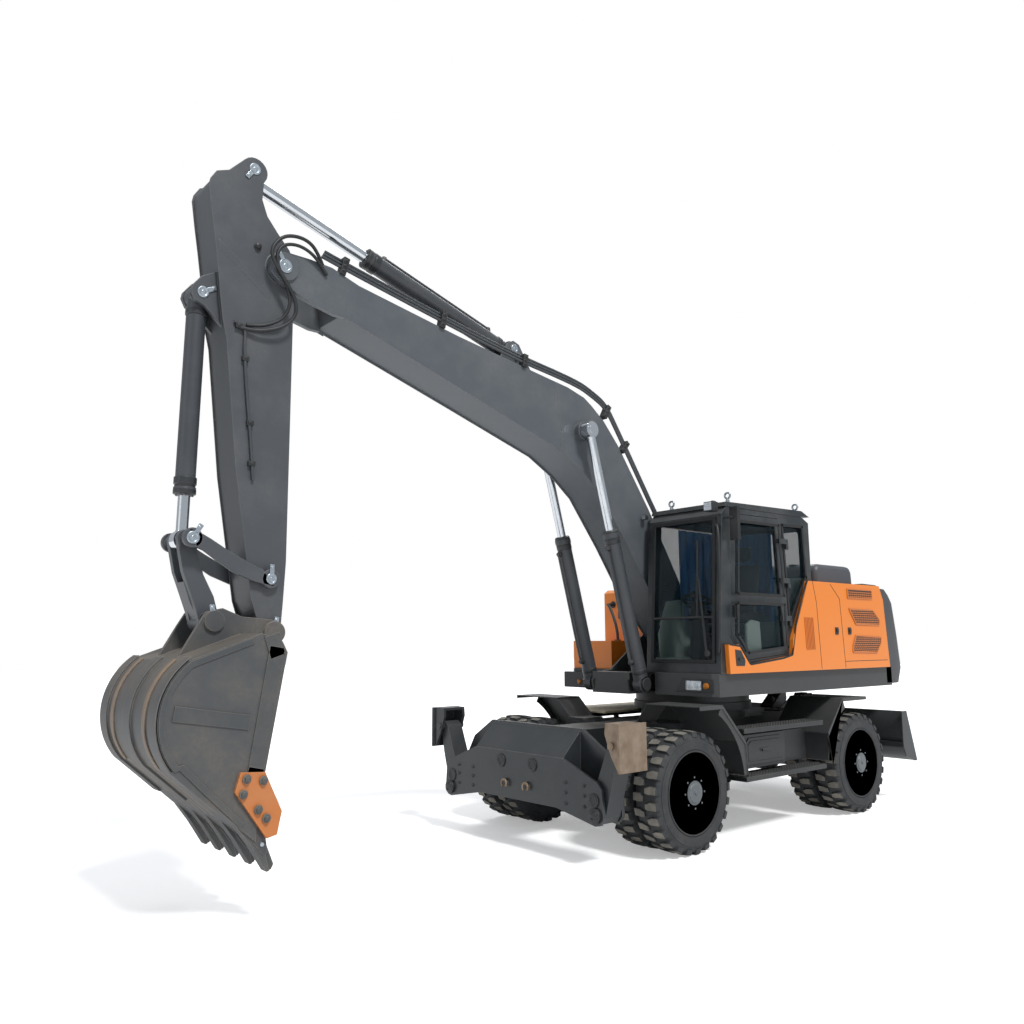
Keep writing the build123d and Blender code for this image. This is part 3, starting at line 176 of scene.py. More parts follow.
def painted_steel(
    name, colour, dust, roughness, dust_share=0.25, edge_wear_and_highlight="8d8b87", edge_wear_and_highlight_share=0.35, coat=0.0
):
    """Two-pack paint sprayed on plate: slight orange peel, dust where it settles, edges paler, partly
    rubbed paint and partly a painted highlight.
    """
    finish, tree = blank(name)
    place = add(tree, "TexCoord").outputs["Object"]
    # clouds of dust half a metre across, and grit of about 25 mm
    cloud = add(tree, "TexNoise", {"Vector": place, "Scale": 1.9, "Detail": 6.0, "Roughness": 0.62})
    grit = add(tree, "TexNoise", {"Vector": place, "Scale": 38.0, "Detail": 3.0})
    shape = add(tree, "NewGeometry")
    split = add(tree, "SeparateXYZ", {0: shape.outputs["Normal"]})
    up = add(tree, "MapRange", {"Value": split.outputs["Z"], "From Min": 0.1, "To Max": 0.55})
    patch = add(tree, "MapRange", {"Value": cloud, "From Min": 0.42, "From Max": 0.72})
    speck = add(tree, "MapRange", {"Value": grit, "From Min": 0.35, "From Max": 0.75, "To Min": 0.5})
    amount = add(tree, "Math", {0: patch, 1: speck}, operation="MULTIPLY")
    settled = add(tree, "Math", {0: amount, 1: up}, operation="ADD")
    share = add(tree, "Math", {0: settled, 1: dust_share}, operation="MULTIPLY", use_clamp=True)
    tones = {0: share, COLOUR_A: linear(colour), COLOUR_B: linear(dust)}
    dusty = add(tree, "Mix", tones, data_type="RGBA")
    soft, near = rounded_edges(tree, 0.006)
    # pale edges: partly paint rubbed off, partly a painted highlight where the edges catch the light
    rubbed_and_lit = add(tree, "Math", {0: near, 1: edge_wear_and_highlight_share}, operation="MULTIPLY")
    worn_and_lit = add(tree, "Mix", {0: rubbed_and_lit, COLOUR_A: dusty, COLOUR_B: linear(edge_wear_and_highlight)}, data_type="RGBA")
    span = {"Value": settled, "From Max": 1.2, "To Min": roughness, "To Max": roughness + 0.22}
    rough = add(tree, "MapRange", span)
    # orange peel is about 1 mm, drawn at 4 mm so that it shows
    peel = add(tree, "TexNoise", {"Vector": place, "Scale": 240.0, "Detail": 1.0})
    bump = add(tree, "Bump", {"Strength": 0.05, "Distance": 0.002, "Height": peel, "Normal": soft})
    surface = add(
        tree, "BsdfPrincipled", {"Base Color": worn_and_lit, "Roughness": rough, "Normal": bump, "IOR": 1.5}
    )
    surface.inputs["Coat Weight"].default_value = coat
    surface.inputs["Coat Roughness"].default_value = 0.12
    add(tree, "OutputMaterial", {"Surface": surface})
    return finish


def bare_metal(name, colour, stain, roughness, stain_share, grain=30.0):
    """Bare or plated metal: bright, with stain or bloom in clouds of about 1/grain metre."""
    finish, tree = blank(name)
    place = add(tree, "TexCoord").outputs["Object"]
    cloud = add(tree, "TexNoise", {"Vector": place, "Scale": grain, "Detail": 5.0})
    share = add(
        tree, "MapRange", {"Value": cloud, "From Min": 0.35, "From Max": 0.7, "To Max": stain_share}
    )
    tones = {0: share, COLOUR_A: linear(colour), COLOUR_B: linear(stain)}
    tone = add(tree, "Mix", tones, data_type="RGBA")
    span = {"Value": cloud, "From Min": 0.3, "From Max": 0.8}
    span.update({"To Min": roughness, "To Max": roughness + 0.25})
    rough = add(tree, "MapRange", span)
    soft, near = rounded_edges(tree, 0.003)
    metal = {"Base Color": tone, "Metallic": 1.0, "Roughness": rough, "Normal": soft}
    surface = add(tree, "BsdfPrincipled", metal)
    add(tree, "OutputMaterial", {"Surface": surface})
    return finish


def moulded(name, colour, dust, roughness, dust_share, pebble=300.0):
    """Moulded rubber or plastic: fine pebbled skin with a film of dust."""
    finish, tree = blank(name)
    place = add(tree, "TexCoord").outputs["Object"]
    cloud = add(tree, "TexNoise", {"Vector": place, "Scale": 7.0, "Detail": 7.0, "Roughness": 0.7})
    share = add(
        tree, "MapRange", {"Value": cloud, "From Min": 0.3, "From Max": 0.75, "To Max": dust_share}
    )
    tones = {0: share, COLOUR_A: linear(colour), COLOUR_B: linear(dust)}
    tone = add(tree, "Mix", tones, data_type="RGBA")
    skin = add(tree, "TexNoise", {"Vector": place, "Scale": pebble, "Detail": 2.0})
    soft, near = rounded_edges(tree, 0.005)
    pebbles = {"Strength": 0.4, "Distance": 0.0006, "Height": skin, "Normal": soft}
    bump = add(tree, "Bump", pebbles)
    skin_look = {"Base Color": tone, "Roughness": roughness, "Normal": bump, "IOR": 1.5}
    surface = add(tree, "BsdfPrincipled", skin_look)
    add(tree, "OutputMaterial", {"Surface": surface})
    return finish


def clear_pane(name, tint, roughness, share, cover=1.0):
    """Toughened glass or clear moulded lens: share is what it passes, cover how much it hides."""
    finish, tree = blank(name)
    place = add(tree, "TexCoord").outputs["Object"]
    smear = add(tree, "TexNoise", {"Vector": place, "Scale": 5.0, "Detail": 4.0})
    span = {"Value": smear, "From Min": 0.4, "From Max": 0.8}
    span.update({"To Min": roughness, "To Max": roughness + 0.05})
    rough = add(tree, "MapRange", span)
    surface = add(
        tree,
        "BsdfPrincipled",
        {
            "Base Color": linear(tint),
            "Roughness": rough,
            "IOR": 1.45,
            "Transmission Weight": share,
            "Alpha": cover,
        },
    )
    add(tree, "OutputMaterial", {"Surface": surface})
    return finish


def woven(name, colour, shade, thread):
    """Plain-woven cloth: threads over and under, thread metres apart, with a soft sheen."""
    finish, tree = blank(name)
    place = add(tree, "TexCoord").outputs["Object"]
    threads = {"Vector": place, "Scale": 0.5 / thread, "Distortion": 1.5, "Detail": 2.0}
    across = add(tree, "TexWave", threads, bands_direction="X")
    along = add(tree, "TexWave", threads, bands_direction="Z")
    weave = add(tree, "Math", {0: across.outputs["Fac"], 1: along.outputs["Fac"]}, operation="MULTIPLY")
    tones = {0: weave, COLOUR_A: linear(shade), COLOUR_B: linear(colour)}
    tone = add(tree, "Mix", tones, data_type="RGBA")
    bump = add(tree, "Bump", {"Strength": 0.35, "Distance": 0.0008, "Height": weave})
    cloth = {"Base Color": tone, "Roughness": 0.85, "Normal": bump, "Sheen Weight": 0.3}
    surface = add(tree, "BsdfPrincipled", cloth)
    add(tree, "OutputMaterial", {"Surface": surface})
    return finish


# main paints: a satin charcoal a shade apart from one another, as plates painted apart look
charcoal = painted_steel("charcoal_paint", "4e5256", "86827c", 0.40)
boom_paint = painted_steel("boom_paint", "4d5257", "8f8c86", 0.38, 0.22)
arm_paint = painted_steel("arm_paint", "44474b", "85827c", 0.42, 0.2)
pipe_paint = painted_steel("pipe_paint", "3a3e42", "75726d", 0.36, 0.15)
# darker gear below the deck, where tyres throw dirt
fender_paint = painted_steel("fender_paint", "303234", "6a6762", 0.42, 0.3)
box_paint = painted_steel("step_box_paint", "171b1d", "66635e", 0.4, 0.3)
# upper body: grey hump, orange slats duller than the smooth orange, near-black skirt
hump_paint = painted_steel("hump_paint", "41464d", "7c7a76", 0.36, 0.2)
orange_dull = painted_steel("orange_slats", "c06a2c", "8a6a4c", 0.42, 0.2, edge_wear_and_highlight="dd9a5c")
skirt_paint = painted_steel("skirt_paint", "2c2e2f", "6f6d69", 0.4, 0.2)
outrigger_paint = painted_steel("outrigger_paint", "282c2f", "6a6864", 0.3, 0.2)
cylinder_paint = painted_steel("cylinder_paint", "3a3d41", "75726d", 0.36, 0.15)
blade_paint = painted_steel("blade_paint", "303335", "6a6762", 0.42, 0.25)
# digging steel: paint scoured off to pale metal on the edges, brown on the worn back
bucket_dark = painted_steel(
    "bucket_band_paint", "3f4244", "7a7064", 0.45, 0.4, edge_wear_and_highlight="8f877c", edge_wear_and_highlight_share=0.5
)
bucket_rust = painted_steel(
    "worn_back_steel", "6a5c50", "8a7560", 0.5, 0.7, edge_wear_and_highlight="b5a898", edge_wear_and_highlight_share=0.8
)
cylinder_dark = painted_steel("gland_paint", "26292c", "6a6864", 0.36, 0.15)
# cab frame nearly black, grey covers, and the orange panels with a thin clear coat for their gloss
cab_grey = painted_steel("cab_paint", "1d2428", "8a8680", 0.34)
blue_grey = painted_steel("cover_paint", "5d6570", "9a968f", 0.36)
orange = painted_steel(
    "orange_paint", "db7a22", "d39a62", 0.30, 0.08, edge_wear_and_highlight="e9a05c", edge_wear_and_highlight_share=0.25, coat=0.12
)
# satin blacks of the chassis and the wheels
black = painted_steel("chassis_black_paint", "1b1e20", "5f5c57", 0.42, 0.30, edge_wear_and_highlight="5a5a58")
wheel_black = painted_steel("wheel_paint", "22262a", "6b6762", 0.38, 0.30, edge_wear_and_highlight="6a6a68")
# rough casting paint, and the pale plate underfoot, pale partly from dust and partly as painted
# sunlight
cast = painted_steel("cast_weight_paint", "3b3d40", "7c7974", 0.5, 0.2)
dust_and_painted_sun_deck_paint = painted_steel("deck_plate_dust_and_painted_sun", "d9cbb0", "b9ab93", 0.5, 0.2, edge_wear_and_highlight="efe4cf")
# bare metals: walked-on steel, zinc plate, mirror-like rods and engine alloy
dull_steel = bare_metal("worn_pad_steel", "a09080", "806c58", 0.5, 0.6, 9.0)
bright_steel = bare_metal("zinc_plated_steel", "b9c2c9", "8b959d", 0.24, 0.5, 60.0)
chrome = bare_metal("hard_chrome", "d4d8dc", "b4babf", 0.07, 0.2, 12.0)
alloy = bare_metal("engine_alloy", "8d9094", "5c5a55", 0.5, 0.6)
# bucket, teeth and cutters, worn the most
bucket_steel = painted_steel(
    "bucket_paint", "434547", "7d7264", 0.5, 0.55, edge_wear_and_highlight="a39a8e", edge_wear_and_highlight_share=0.6
)
tooth_steel = painted_steel("tooth_paint", "3c3e40", "7a6a58", 0.5, 0.45, edge_wear_and_highlight="b0a698", edge_wear_and_highlight_share=0.7)
cutter_orange = painted_steel("cutter_paint", "b66a30", "a98a6c", 0.42, 0.35, edge_wear_and_highlight="e8b080")
# rubbers and plastics: dusty side walls, a paler ground-off tread, black seals and hoses
rubber = moulded("tyre_rubber", "24282c", "4a4845", 0.72, 0.55, 160.0)
tread = moulded("tread_rubber", "55534e", "8f897e", 0.85, 0.9, 160.0)
seal = moulded("seal_rubber", "101213", "2c2d2d", 0.6, 0.3, 400.0)
hose = moulded("hose_rubber", "15181a", "3a3b3b", 0.5, 0.4, 400.0)
plastic = moulded("black_moulding", "1a1d1f", "3f3f3e", 0.42, 0.35)
trim_green = moulded("cab_trim", "b4cabf", "a7b5ac", 0.6, 0.3)
# clear lamp lens, amber lens, and dark cab glass as a thin film
lamp_glass = clear_pane("lamp_lens", "f4f6f8", 0.03, 0.85)
amber = clear_pane("amber_lens", "f0902a", 0.1, 0.55)
cab_pane = clear_pane("cab_glass", "0e2026", 0.01, 0.0, 0.34)
# cloths: dark seat, blue curtain
seat_cloth = woven("seat_cloth", "23262a", "101214", 0.004)
curtain_cloth = woven("curtain_cloth", "5c9ad8", "3a70ac", 0.004)

# which finish: each CAD node by the start of its name
node_finishes = (
    ("left_housing", orange),
    ("right_housing", orange),
    ("side_cutters", cutter_orange),
    ("hood", blue_grey),
    ("handrails", black),
    ("rear_axle", black),
    ("front_axle", black),
    ("knuckle", black),
    ("wheel_", wheel_black),
    ("tyres_", rubber),
    ("chassis", black),
    ("slew_ring", black),
    ("fenders", black),
    ("steps", black),
    ("mirror", plastic),
    ("counterweight", cast),
    ("cab_glass", cab_pane),
    ("door_glass", cab_pane),
    ("cab_", cab_grey),
    ("seat", seat_cloth),
    ("console", plastic),
    ("engine", alloy),
    ("boom_rods", chrome),
    ("arm_rod", chrome),
    ("bucket_rod", chrome),
    ("blade_rods", chrome),
    ("outrigger_pad_right", outrigger_paint),
    ("outrigger_pad", dull_steel),
    ("upper_frame", skirt_paint),
    ("outrigger", outrigger_paint),
    ("blade", blade_paint),
    ("idler", arm_paint),
    ("bucket_link", arm_paint),
    ("bucket_barrel", cylinder_paint),
    ("arm_barrel", cylinder_paint),
    ("bucket", bucket_steel),
    ("boom_barrels", cylinder_paint),
)
for node_name, node in nodes.items():
    chosen = [finish for start, finish in node_finishes if node_name.startswith(start)]
    node.data.materials.clear()
    node.data.materials.append(chosen[0] if chosen else charcoal)


# ---- making pieces --------------------------------------------------------------------------
def fit(name, shape, body, finish, bevel=0.0, smooth=35.0):
    """Puts a finished shape in the scene on its body; bevel rounds its edges, in metres."""
    bmesh.ops.recalc_face_normals(shape, faces=shape.faces)
    mesh = bpy.data.meshes.new(name)
    shape.to_mesh(mesh)
    shape.free()
    piece = bpy.data.objects.new(name, mesh)
    scene.collection.objects.link(piece)
    mesh.materials.append(finish)
    mesh.polygons.foreach_set("use_smooth", [True] * len(mesh.polygons))
    mesh.set_sharp_from_angle(angle=radians(smooth))
    if bevel:
        edge = piece.modifiers.new("rounded", "BEVEL")
        edge.width = bevel
        edge.segments = 2
        edge.limit_method = "ANGLE"
        edge.angle_limit = radians(35)
    if body:
        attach(piece, body)
    return piece


def prism(shape, corners, shift):
    """A flat outline of points carried along shift."""
    near = [shape.verts.new(corner) for corner in corners]
    far = [shape.verts.new(corner + shift) for corner in corners]
    shape.faces.new(near)
    shape.faces.new(far[::-1])
    for i in range(len(corners)):
        j = (i + 1) % len(corners)
        shape.faces.new((near[j], near[i], far[i], far[j]))


def side_plate(shape, outline, y_low, y_high):
    """A plate whose outline (x, z) lies along the machine's side."""
    prism(shape, [at(x, y_low, z) for x, z in outline], Vector((0, (y_high - y_low) / 1000, 0)))


def front_plate(shape, outline, x_low, x_high):
    """A plate whose outline (y, z) faces the front."""
    prism(shape, [at(x_low, y, z) for y, z in outline], Vector(((x_high - x_low) / 1000, 0, 0)))


def sided_plate(shape, outline, hand, inner, outer):
    """A side plate from inner to outer on one side of the machine: hand 1 is left, -1 right."""
    side_plate(shape, outline, *sorted((hand * inner, hand * outer)))


def bar_outline(start, stop, half):
    """The four corners of a straight bar from start to stop, half wide to each side."""
    along = Vector(stop) - Vector(start)
    side = Vector((-along.y, along.x)).normalized() * half
    ends = ((start, -1), (stop, -1), (stop, 1), (start, 1))
    return [(end[0] + way * side.x, end[1] + way * side.y) for end, way in ends]


def pairs_round(points):
    """Each point of a closed loop with the next."""
    return zip(points, points[1:] + points[:1])


def circle(centre, first, second, radius, count):
    """Points evenly round a centre, radius in millimetres, from first towards second."""
    turns = [2 * pi * i / count for i in range(count)]
    return [centre + (first * cos(turn) + second * sin(turn)) * radius / 1000 for turn in turns]


def across_axis(axis):
    """A unit axis and the two directions square to it."""
    axis = Vector(axis).normalized()
    across = axis.orthogonal().normalized()
    return axis, across, axis.cross(across)


def box(shape, x_low, x_high, y_low, y_high, z_low, z_high):
    """A squared bar between six stations."""
    outline = [(x_low, z_low), (x_high, z_low), (x_high, z_high), (x_low, z_high)]
    side_plate(shape, outline, y_low, y_high)


def sided_box(shape, hand, x_low, x_high, inner, outer, z_low, z_high):
    """A squared bar on one side of the machine."""
    box(shape, x_low, x_high, *sorted((hand * inner, hand * outer)), z_low, z_high)


def turned(shape, profile, centre, axis, sides):
    """A turned form: profile (along, radius) in millimetres from centre along axis."""
    axis, across, third = across_axis(axis)
    rings = []
    for along, radius in profile:
        middle = centre + axis * along / 1000
        points = circle(middle, across, third, radius, sides) if radius else [middle]
        rings.append([shape.verts.new(point) for point in points])
    for lower, upper in zip(rings, rings[1:]):
        for i in range(sides):
            j = (i + 1) % sides
            # a ring of one point, at a pole, gives triangles
            corners = [lower[i % len(lower)], lower[j % len(lower)]]
            corners += [upper[j % len(upper)], upper[i % len(upper)]]
            corners = list(dict.fromkeys(corners))
            if len(corners) > 2:
                shape.faces.new(corners)
    for ring in (rings[0], rings[-1]):
        if len(ring) > 1:
            shape.faces.new(ring)


def bolt(shape, centre, axis, across_flats, height):
    """A hexagon head with its washer."""
    washer, corner, crown = across_flats * 0.72, across_flats * 0.577, across_flats * 0.46
    turned(shape, [(0, washer), (3, washer)], centre, axis, 20)
    turned(shape, [(3, corner), (height - 2, corner), (height, crown)], centre, axis, 6)


def bolt_ring(shape, centre, axis, radius, count, across_flats, height):
    """Bolts evenly round a circle of radius millimetres."""
    axis, across, third = across_axis(axis)
    for place in circle(centre, across, third, radius, count):
        bolt(shape, place, axis, across_flats, height)


def smooth_line(name, points, steps):
    """A curve on a smooth line beside (x, y, z) stations."""
    line = bpy.data.curves.new(name, "CURVE")
    line.dimensions = "3D"
    spline = line.splines.new("NURBS")
    spline.points.add(len(points) - 1)
    for knot, point in zip(spline.points, points):
        knot.co = [*at(*point), 1.0]
    spline.order_u = 3
    spline.use_endpoint_u = True
    spline.resolution_u = steps
    piece = bpy.data.objects.new(name, line)
    scene.collection.objects.link(piece)
    return piece


def run_pipe(name, points, radius, body, finish):
    """A bent pipe or rail along (x, y, z) stations, its ends closed."""
    piece = smooth_line(name, points, 8)
    piece.data.bevel_depth = radius / 1000
    piece.data.bevel_resolution = 4
    piece.data.use_fill_caps = True
    piece.data.materials.append(finish)
    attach(piece, body)


# ---- wheels ---------------------------------------------------------------------------------
TYRE_R = 522.0
LUGS = 25
# middles of the outer and the inner tyre of a twin, from the machine's middle
TWIN_MIDDLES = (1107, 776)
# half section of a 10.00-20 twin tyre: distance from its middle, radius
tyre_section = [
    (96, 262), (112, 268), (120, 292), (129, 330), (134, 372), (135, 410), (131, 446), (124, 474),
    (108, 492), (60, 500), (0, 501),
]
# one lug: along the tread, outwards from the tyre's middle
lug_outline = [(-36, 130), (36, 130), (38, 62), (16, 8), (-30, 8), (-38, 40)]


def tyre(shape, x, y_middle, tread_faces):
    """One block-tread tyre: a moulded carcass with 25 staggered lugs on each shoulder."""
    centre = at(x, y_middle, AXLE_Z)
    profile = tyre_section + [(-w, r) for w, r in tyre_section[-2::-1]]
    turned(shape, profile + [profile[0]], centre, ACROSS, 100)
    # two raised rings on each side wall
    for hand in (1, -1):
        for radius, height in ((352, 2.5), (436, 3.5)):
            wall, top = 133.0 * hand, (133.0 + height) * hand
            ring = [(wall, radius - 9), (top, radius - 5), (top, radius + 5), (wall, radius + 9)]
            turned(shape, ring, centre, ACROSS, 80)
        for i in range(LUGS):
            middle = 2 * pi * (i + (0.5 if hand > 0 else 0.0)) / LUGS
            base, top = [], []
            for s, w in lug_outline:
                low_r, high_r = (468.0, 516.0) if w > 120 else (494.0, TYRE_R - 0.5)
                low_w, high_w = (134.0, 122.0) if w > 120 else (w, w)
                for ring, r, width, share in ((base, low_r, low_w, 1.06), (top, high_r, high_w, 0.9)):
                    turn = middle + s * share / TYRE_R
                    corner = Vector((r * cos(turn), hand * width, r * sin(turn)))
                    ring.append(shape.verts.new(centre + corner / 1000))
            tread_faces.append(shape.faces.new(top))
            shape.faces.new(base[::-1])
            for j in range(len(base)):
                k = (j + 1) % len(base)
                shape.faces.new((base[j], base[k], top[k], top[j]))


def dress_wheel(name, x, hand):
    """Twin tyres, hub cap, wheel nuts and lock ring of one wheel."""
    body = "wheels_" + name
    shape = bmesh.new()
    tread_faces = []
    for middle in TWIN_MIDDLES:
        tyre(shape, x, hand * middle, tread_faces)
    for face in tread_faces:
        face.material_index = 1
    pair = fit("tyre_pair_" + name, shape, body, rubber, 0.0025, 50)
    pair.data.materials.append(tread)
    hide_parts("tyres_" + name)

    out = Vector((0, hand, 0))
    face = at(x, hand * 1222, AXLE_Z)
    # planetary hub: a turned cap with a stepped rim, its bolts round it
    shape = bmesh.new()
    cap = [(-4, 150), (6, 150), (10, 144), (10, 118), (16, 112), (22, 84), (30, 78), (30, 0)]
    turned(shape, cap, face, out, 56)
    bolt_ring(shape, face + out * 0.010, out, 131, 8, 17, 10)
    turned(shape, [(30, 16), (38, 16), (40, 12), (40, 0)], face, out, 6)
    fit("hub_cap_" + name, shape, body, hub_paint, 0.001)

    shape = bmesh.new()
    bolt_ring(shape, at(x, hand * 952, AXLE_Z), out, 196, 10, 30, 26)
    fit("wheel_nuts_" + name, shape, body, dull_nut, 0.001)
    # lock ring inside the rim's lip
    shape = bmesh.new()
    lock = [(-18, 240), (-4, 240), (2, 246), (4, 262), (2, 280), (-4, 287), (-18, 287), (-18, 240)]
    turned(shape, lock, at(x, hand * 1233, AXLE_Z), out, 72)
    fit("lock_ring_" + name, shape, body, wheel_black)


hub_paint = painted_steel("hub_paint", "50565a", "8c8982", 0.32, 0.2, edge_wear_and_highlight="a9aeb2", edge_wear_and_highlight_share=0.5)
dull_nut = bare_metal("oiled_steel", "6d6a64", "3c3833", 0.45, 0.7, 80.0)
for end_name, axle_x in (("front", FRONT_AXLE_X), ("rear", REAR_AXLE_X)):
    for side_name, hand in (("_left", 1), ("_right", -1)):
        dress_wheel(end_name + side_name, axle_x, hand)


# ---- boom and arm ---------------------------------------------------------------------------
# pin centres of the front linkage, (x, z)
BOOM_FOOT = (150, 1880)
BOOM_BASE = (1060, 1405)
BOOM_EYE = (1730, 3870)
ARM_PIVOT = (4915, 4675)
ARM_BASE = (2508, 4580)
ARM_EYE = (5155, 5417)
BUCKET_BASE = (5483, 4360)
IDLER_PIN = (4924, 2285)
JOINT_PIN = (5508, 2545)
LINK_PIN = (5331, 1976)
BUCKET_PIN = (4886, 1898)


def pin_at(pin, y):
    """A pin's centre (x, z) at one side station, in metres."""
    return at(pin[0], y, pin[1])


BOOM_TOP = [
    (20, 2030), (742, 3180), (1193, 3806), (1403, 4036), (1573, 4165), (1677, 4230), (1903, 4295),
    (2182, 4338), (3240, 4509), (4258, 4705), (4440, 4768),
]
BOOM_UNDER = [
    (4400, 4412), (2997, 3965), (2030, 3652), (1718, 3478), (1470, 3283), (1090, 2795), (700, 2240),
    (335, 1855),
]
BOOM_NOSE = [
    (4380, 4742), (4508, 4785), (4700, 4800), (4900, 4800), (5020, 4740), (5030, 4620),
    (4960, 4560), (4744, 4465), (4473, 4401), (4380, 4400),
]


def arc_points(x, z, radius, start, stop, count):
    """Points of an arc in a side outline, angles in degrees."""
    turns = [radians(start + (stop - start) * i / count) for i in range(count + 1)]
    return [(x + radius * cos(turn), z + radius * sin(turn)) for turn in turns]


# boom: side plates standing 12 mm proud of the top and bottom plates, welded along the corner
shape = bmesh.new()
boom_outline = BOOM_TOP + BOOM_UNDER + arc_points(*BOOM_FOOT, 135, -30, -200, 10)
for hand in (1, -1):
    sided_plate(shape, boom_outline, hand, 213, 225)
inner_top = [(x + 6, z - 12) for x, z in BOOM_TOP]
inner_under = [(x - 8, z + 12) for x, z in BOOM_UNDER]
side_plate(shape, inner_top + inner_under, -214, 214)
for hand in (1, -1):
    for outline, low, high in (
        (BOOM_NOSE, 184, 233),
        (arc_points(*ARM_PIVOT, 112, 0, 345, 23), 184, 255),
        (arc_points(*BOOM_FOOT, 135, 0, 345, 23), 200, 225),
        (arc_points(*BOOM_EYE, 95, 0, 345, 23), 224, 290),
        # ear that holds the arm cylinder
        ([(2178, 4240), (2438, 4640), (2508, 4665), (2578, 4630), (2768, 4300)], 90, 115),
        # doubling plate round the nose, and the weld line across the boom's side
        ([(4250, 4690), (4420, 4748), (4420, 4410), (4330, 4380)], 224, 229),
        ([(2040, 4316), (2054, 4318), (1992, 3642), (1978, 3638)], 224, 229),
    ):
        sided_plate(shape, outline, hand, low, high)
turned(shape, [(-186, 50), (186, 50)], pin_at(ARM_PIVOT, 0), ACROSS, 40)
turned(shape, [(-128, 45), (128, 45)], pin_at(ARM_BASE, 0), ACROSS, 40)
boom_plates = fit("boom_plates", shape, "boom", boom_paint, 0.003)
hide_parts("boom")

# steel pipes along the boom's left side, held by clamps
BOOM_PIPE = [
    (640, 3160), (671, 3200), (1229, 4010), (1380, 4215), (1560, 4300), (1800, 4385), (2713, 4498),
    (4432, 4858), (4600, 4900),
]
for i, (y, dx, dz) in enumerate(((196, -42, 18), (214, -21, -14), (228, 0, -46))):
    route = [(x + dx, y, z + dz) for x, z in BOOM_PIPE]
    run_pipe("boom_pipe_%d" % (i + 1), route, 13, "boom", pipe_paint)
shape = bmesh.new()
for (high_x, high_z), (low_x, low_z) in (
    ((1060, 3860), (1150, 3750)),
    ((1330, 4200), (1400, 4070)),
    ((2460, 4505), (2480, 4378)),
    ((3400, 4690), (3430, 4540)),
    ((4380, 4900), (4420, 4750)),
):
    side_plate(shape, bar_outline((high_x, high_z), (low_x, low_z), 26), 180, 250)
    for share in (0.2, 0.5, 0.8):
        x = high_x + (low_x - high_x) * share
        z = high_z + (low_z - high_z) * share
        bolt(shape, at(x, 250, z), ACROSS, 20, 12)
fit("boom_clamps", shape, "boom", black, 0.004)


def pin_cap(shape, pin, hand, y, radius, lock_angle):
    """A pin's bright end cap at y from the machine's middle, with the flat lock plate beside it."""
    out = Vector((0, hand, 0))
    face = pin_at(pin, hand * y)
    cap = [(-4, radius), (5, radius), (9, radius - 5), (9, radius * 0.66), (5, radius * 0.6)]
    turned(shape, cap + [(5, radius * 0.3), (8, radius * 0.26), (8, 0)], face, out, 40)
    turn = radians(lock_angle)
    along = Vector((cos(turn), 0, sin(turn)))
    half = Vector((-along.z, 0, along.x)) * 0.017
    start = face + along * (radius * 0.8 / 1000)
    stop = face + along * (radius + 62) / 1000
    prism(shape, [start - half, stop - half, stop + half, start + half], out * 0.009)
    bolt(shape, face + along * (radius + 38) / 1000 + out * 0.009, out, 17, 9)


def dress_pins(name, body, pins):
    """Caps at both ends of pins, each (centre, y, radius, angle of the lock plate), as one piece."""
    shape = bmesh.new()
    for hand in (1, -1):
        for pin, y, radius, lock_angle in pins:
            pin_cap(shape, pin, hand, y, radius, lock_angle)
    fit(name, shape, body, bright_steel, 0.001)


# arm: a closed welded box, its head wide enough for the arm cylinder's eye
ARM_SIDE = [
    (5355, 5340), (5448, 5300), (5492, 5227), (5502, 5175), (5470, 4964), (5438, 4775),
    (5403, 4547), (5380, 4357), (5352, 4168), (5318, 4030), (5205, 3056), (5128, 2600),
    (5050, 2134), (4975, 1915), (4930, 1838), (4860, 1835), (4815, 1930), (4803, 2134),
    (4790, 2420), (4795, 3500), (4800, 4290), (4796, 4620), (4806, 4760), (4850, 4850),
    (4947, 4955), (5040, 5070), (5085, 5190), (5078, 5330),
]
shape = bmesh.new()
arm_side = ARM_SIDE + arc_points(5155, 5405, 104, 215, 40, 10)
for hand in (1, -1):
    sided_plate(shape, arm_side, hand, 163, 175)
arm_inner = [
    (5340, 5330), (5436, 5292), (5480, 5222), (5490, 5175), (5458, 4964), (5426, 4775),
    (5391, 4547), (5368, 4357), (5340, 4168), (5306, 4030), (5193, 3056), (5116, 2600),
    (5038, 2140), (4980, 2020), (4822, 2020), (4815, 2134), (4802, 2420), (4807, 3500),
    (4812, 4290), (4808, 4620), (4818, 4752), (4860, 4842), (4957, 4947), (5052, 5062),
    (5097, 5186), (5092, 5300),
]
side_plate(shape, arm_inner, -164, 164)
# ear that holds the bucket cylinder
bucket_ear = [(5360, 4560), (5500, 4480), (5560, 4400), (5568, 4355), (5535, 4290), (5470, 4262)]
bucket_ear.append((5330, 4130))
for hand in (1, -1):
    for outline, low, high in (
        ([(5080, 5250), (5370, 5250), (5340, 5345)] + arc_points(*ARM_EYE, 92, 40, 200, 8), 90, 130),
        (bucket_ear, 80, 116),
        (arc_points(*ARM_PIVOT, 128, 0, 345, 23), 160, 176),
        (arc_points(*BUCKET_PIN, 80, 0, 345, 23), 60, 176),
        (arc_points(*IDLER_PIN, 62, 0, 345, 23), 172, 189),
        # wide welded band across the head
        ([(5408, 4775), (5396, 4700), (5010, 4412), (5002, 4470)], 173, 179),
    ):
        sided_plate(shape, outline, hand, low, high)
turned(shape, [(-116, 38), (116, 38)], pin_at(BUCKET_BASE, 0), ACROSS, 36)
turned(shape, [(-225, 38), (225, 38)], pin_at(IDLER_PIN, 0), ACROSS, 36)
arm_plates = fit("arm_plates", shape, "arm", arm_paint, 0.003)
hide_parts("arm")

for body, pins in (
    ("arm", ((ARM_EYE, 176, 46, -55), (BUCKET_BASE, 117, 44, 150), (IDLER_PIN, 226, 42, 90))),
    ("boom", ((ARM_PIVOT, 256, 56, 60), (ARM_BASE, 129, 42, 250))),
):
    dress_pins(body + "_pin_caps", body, pins)

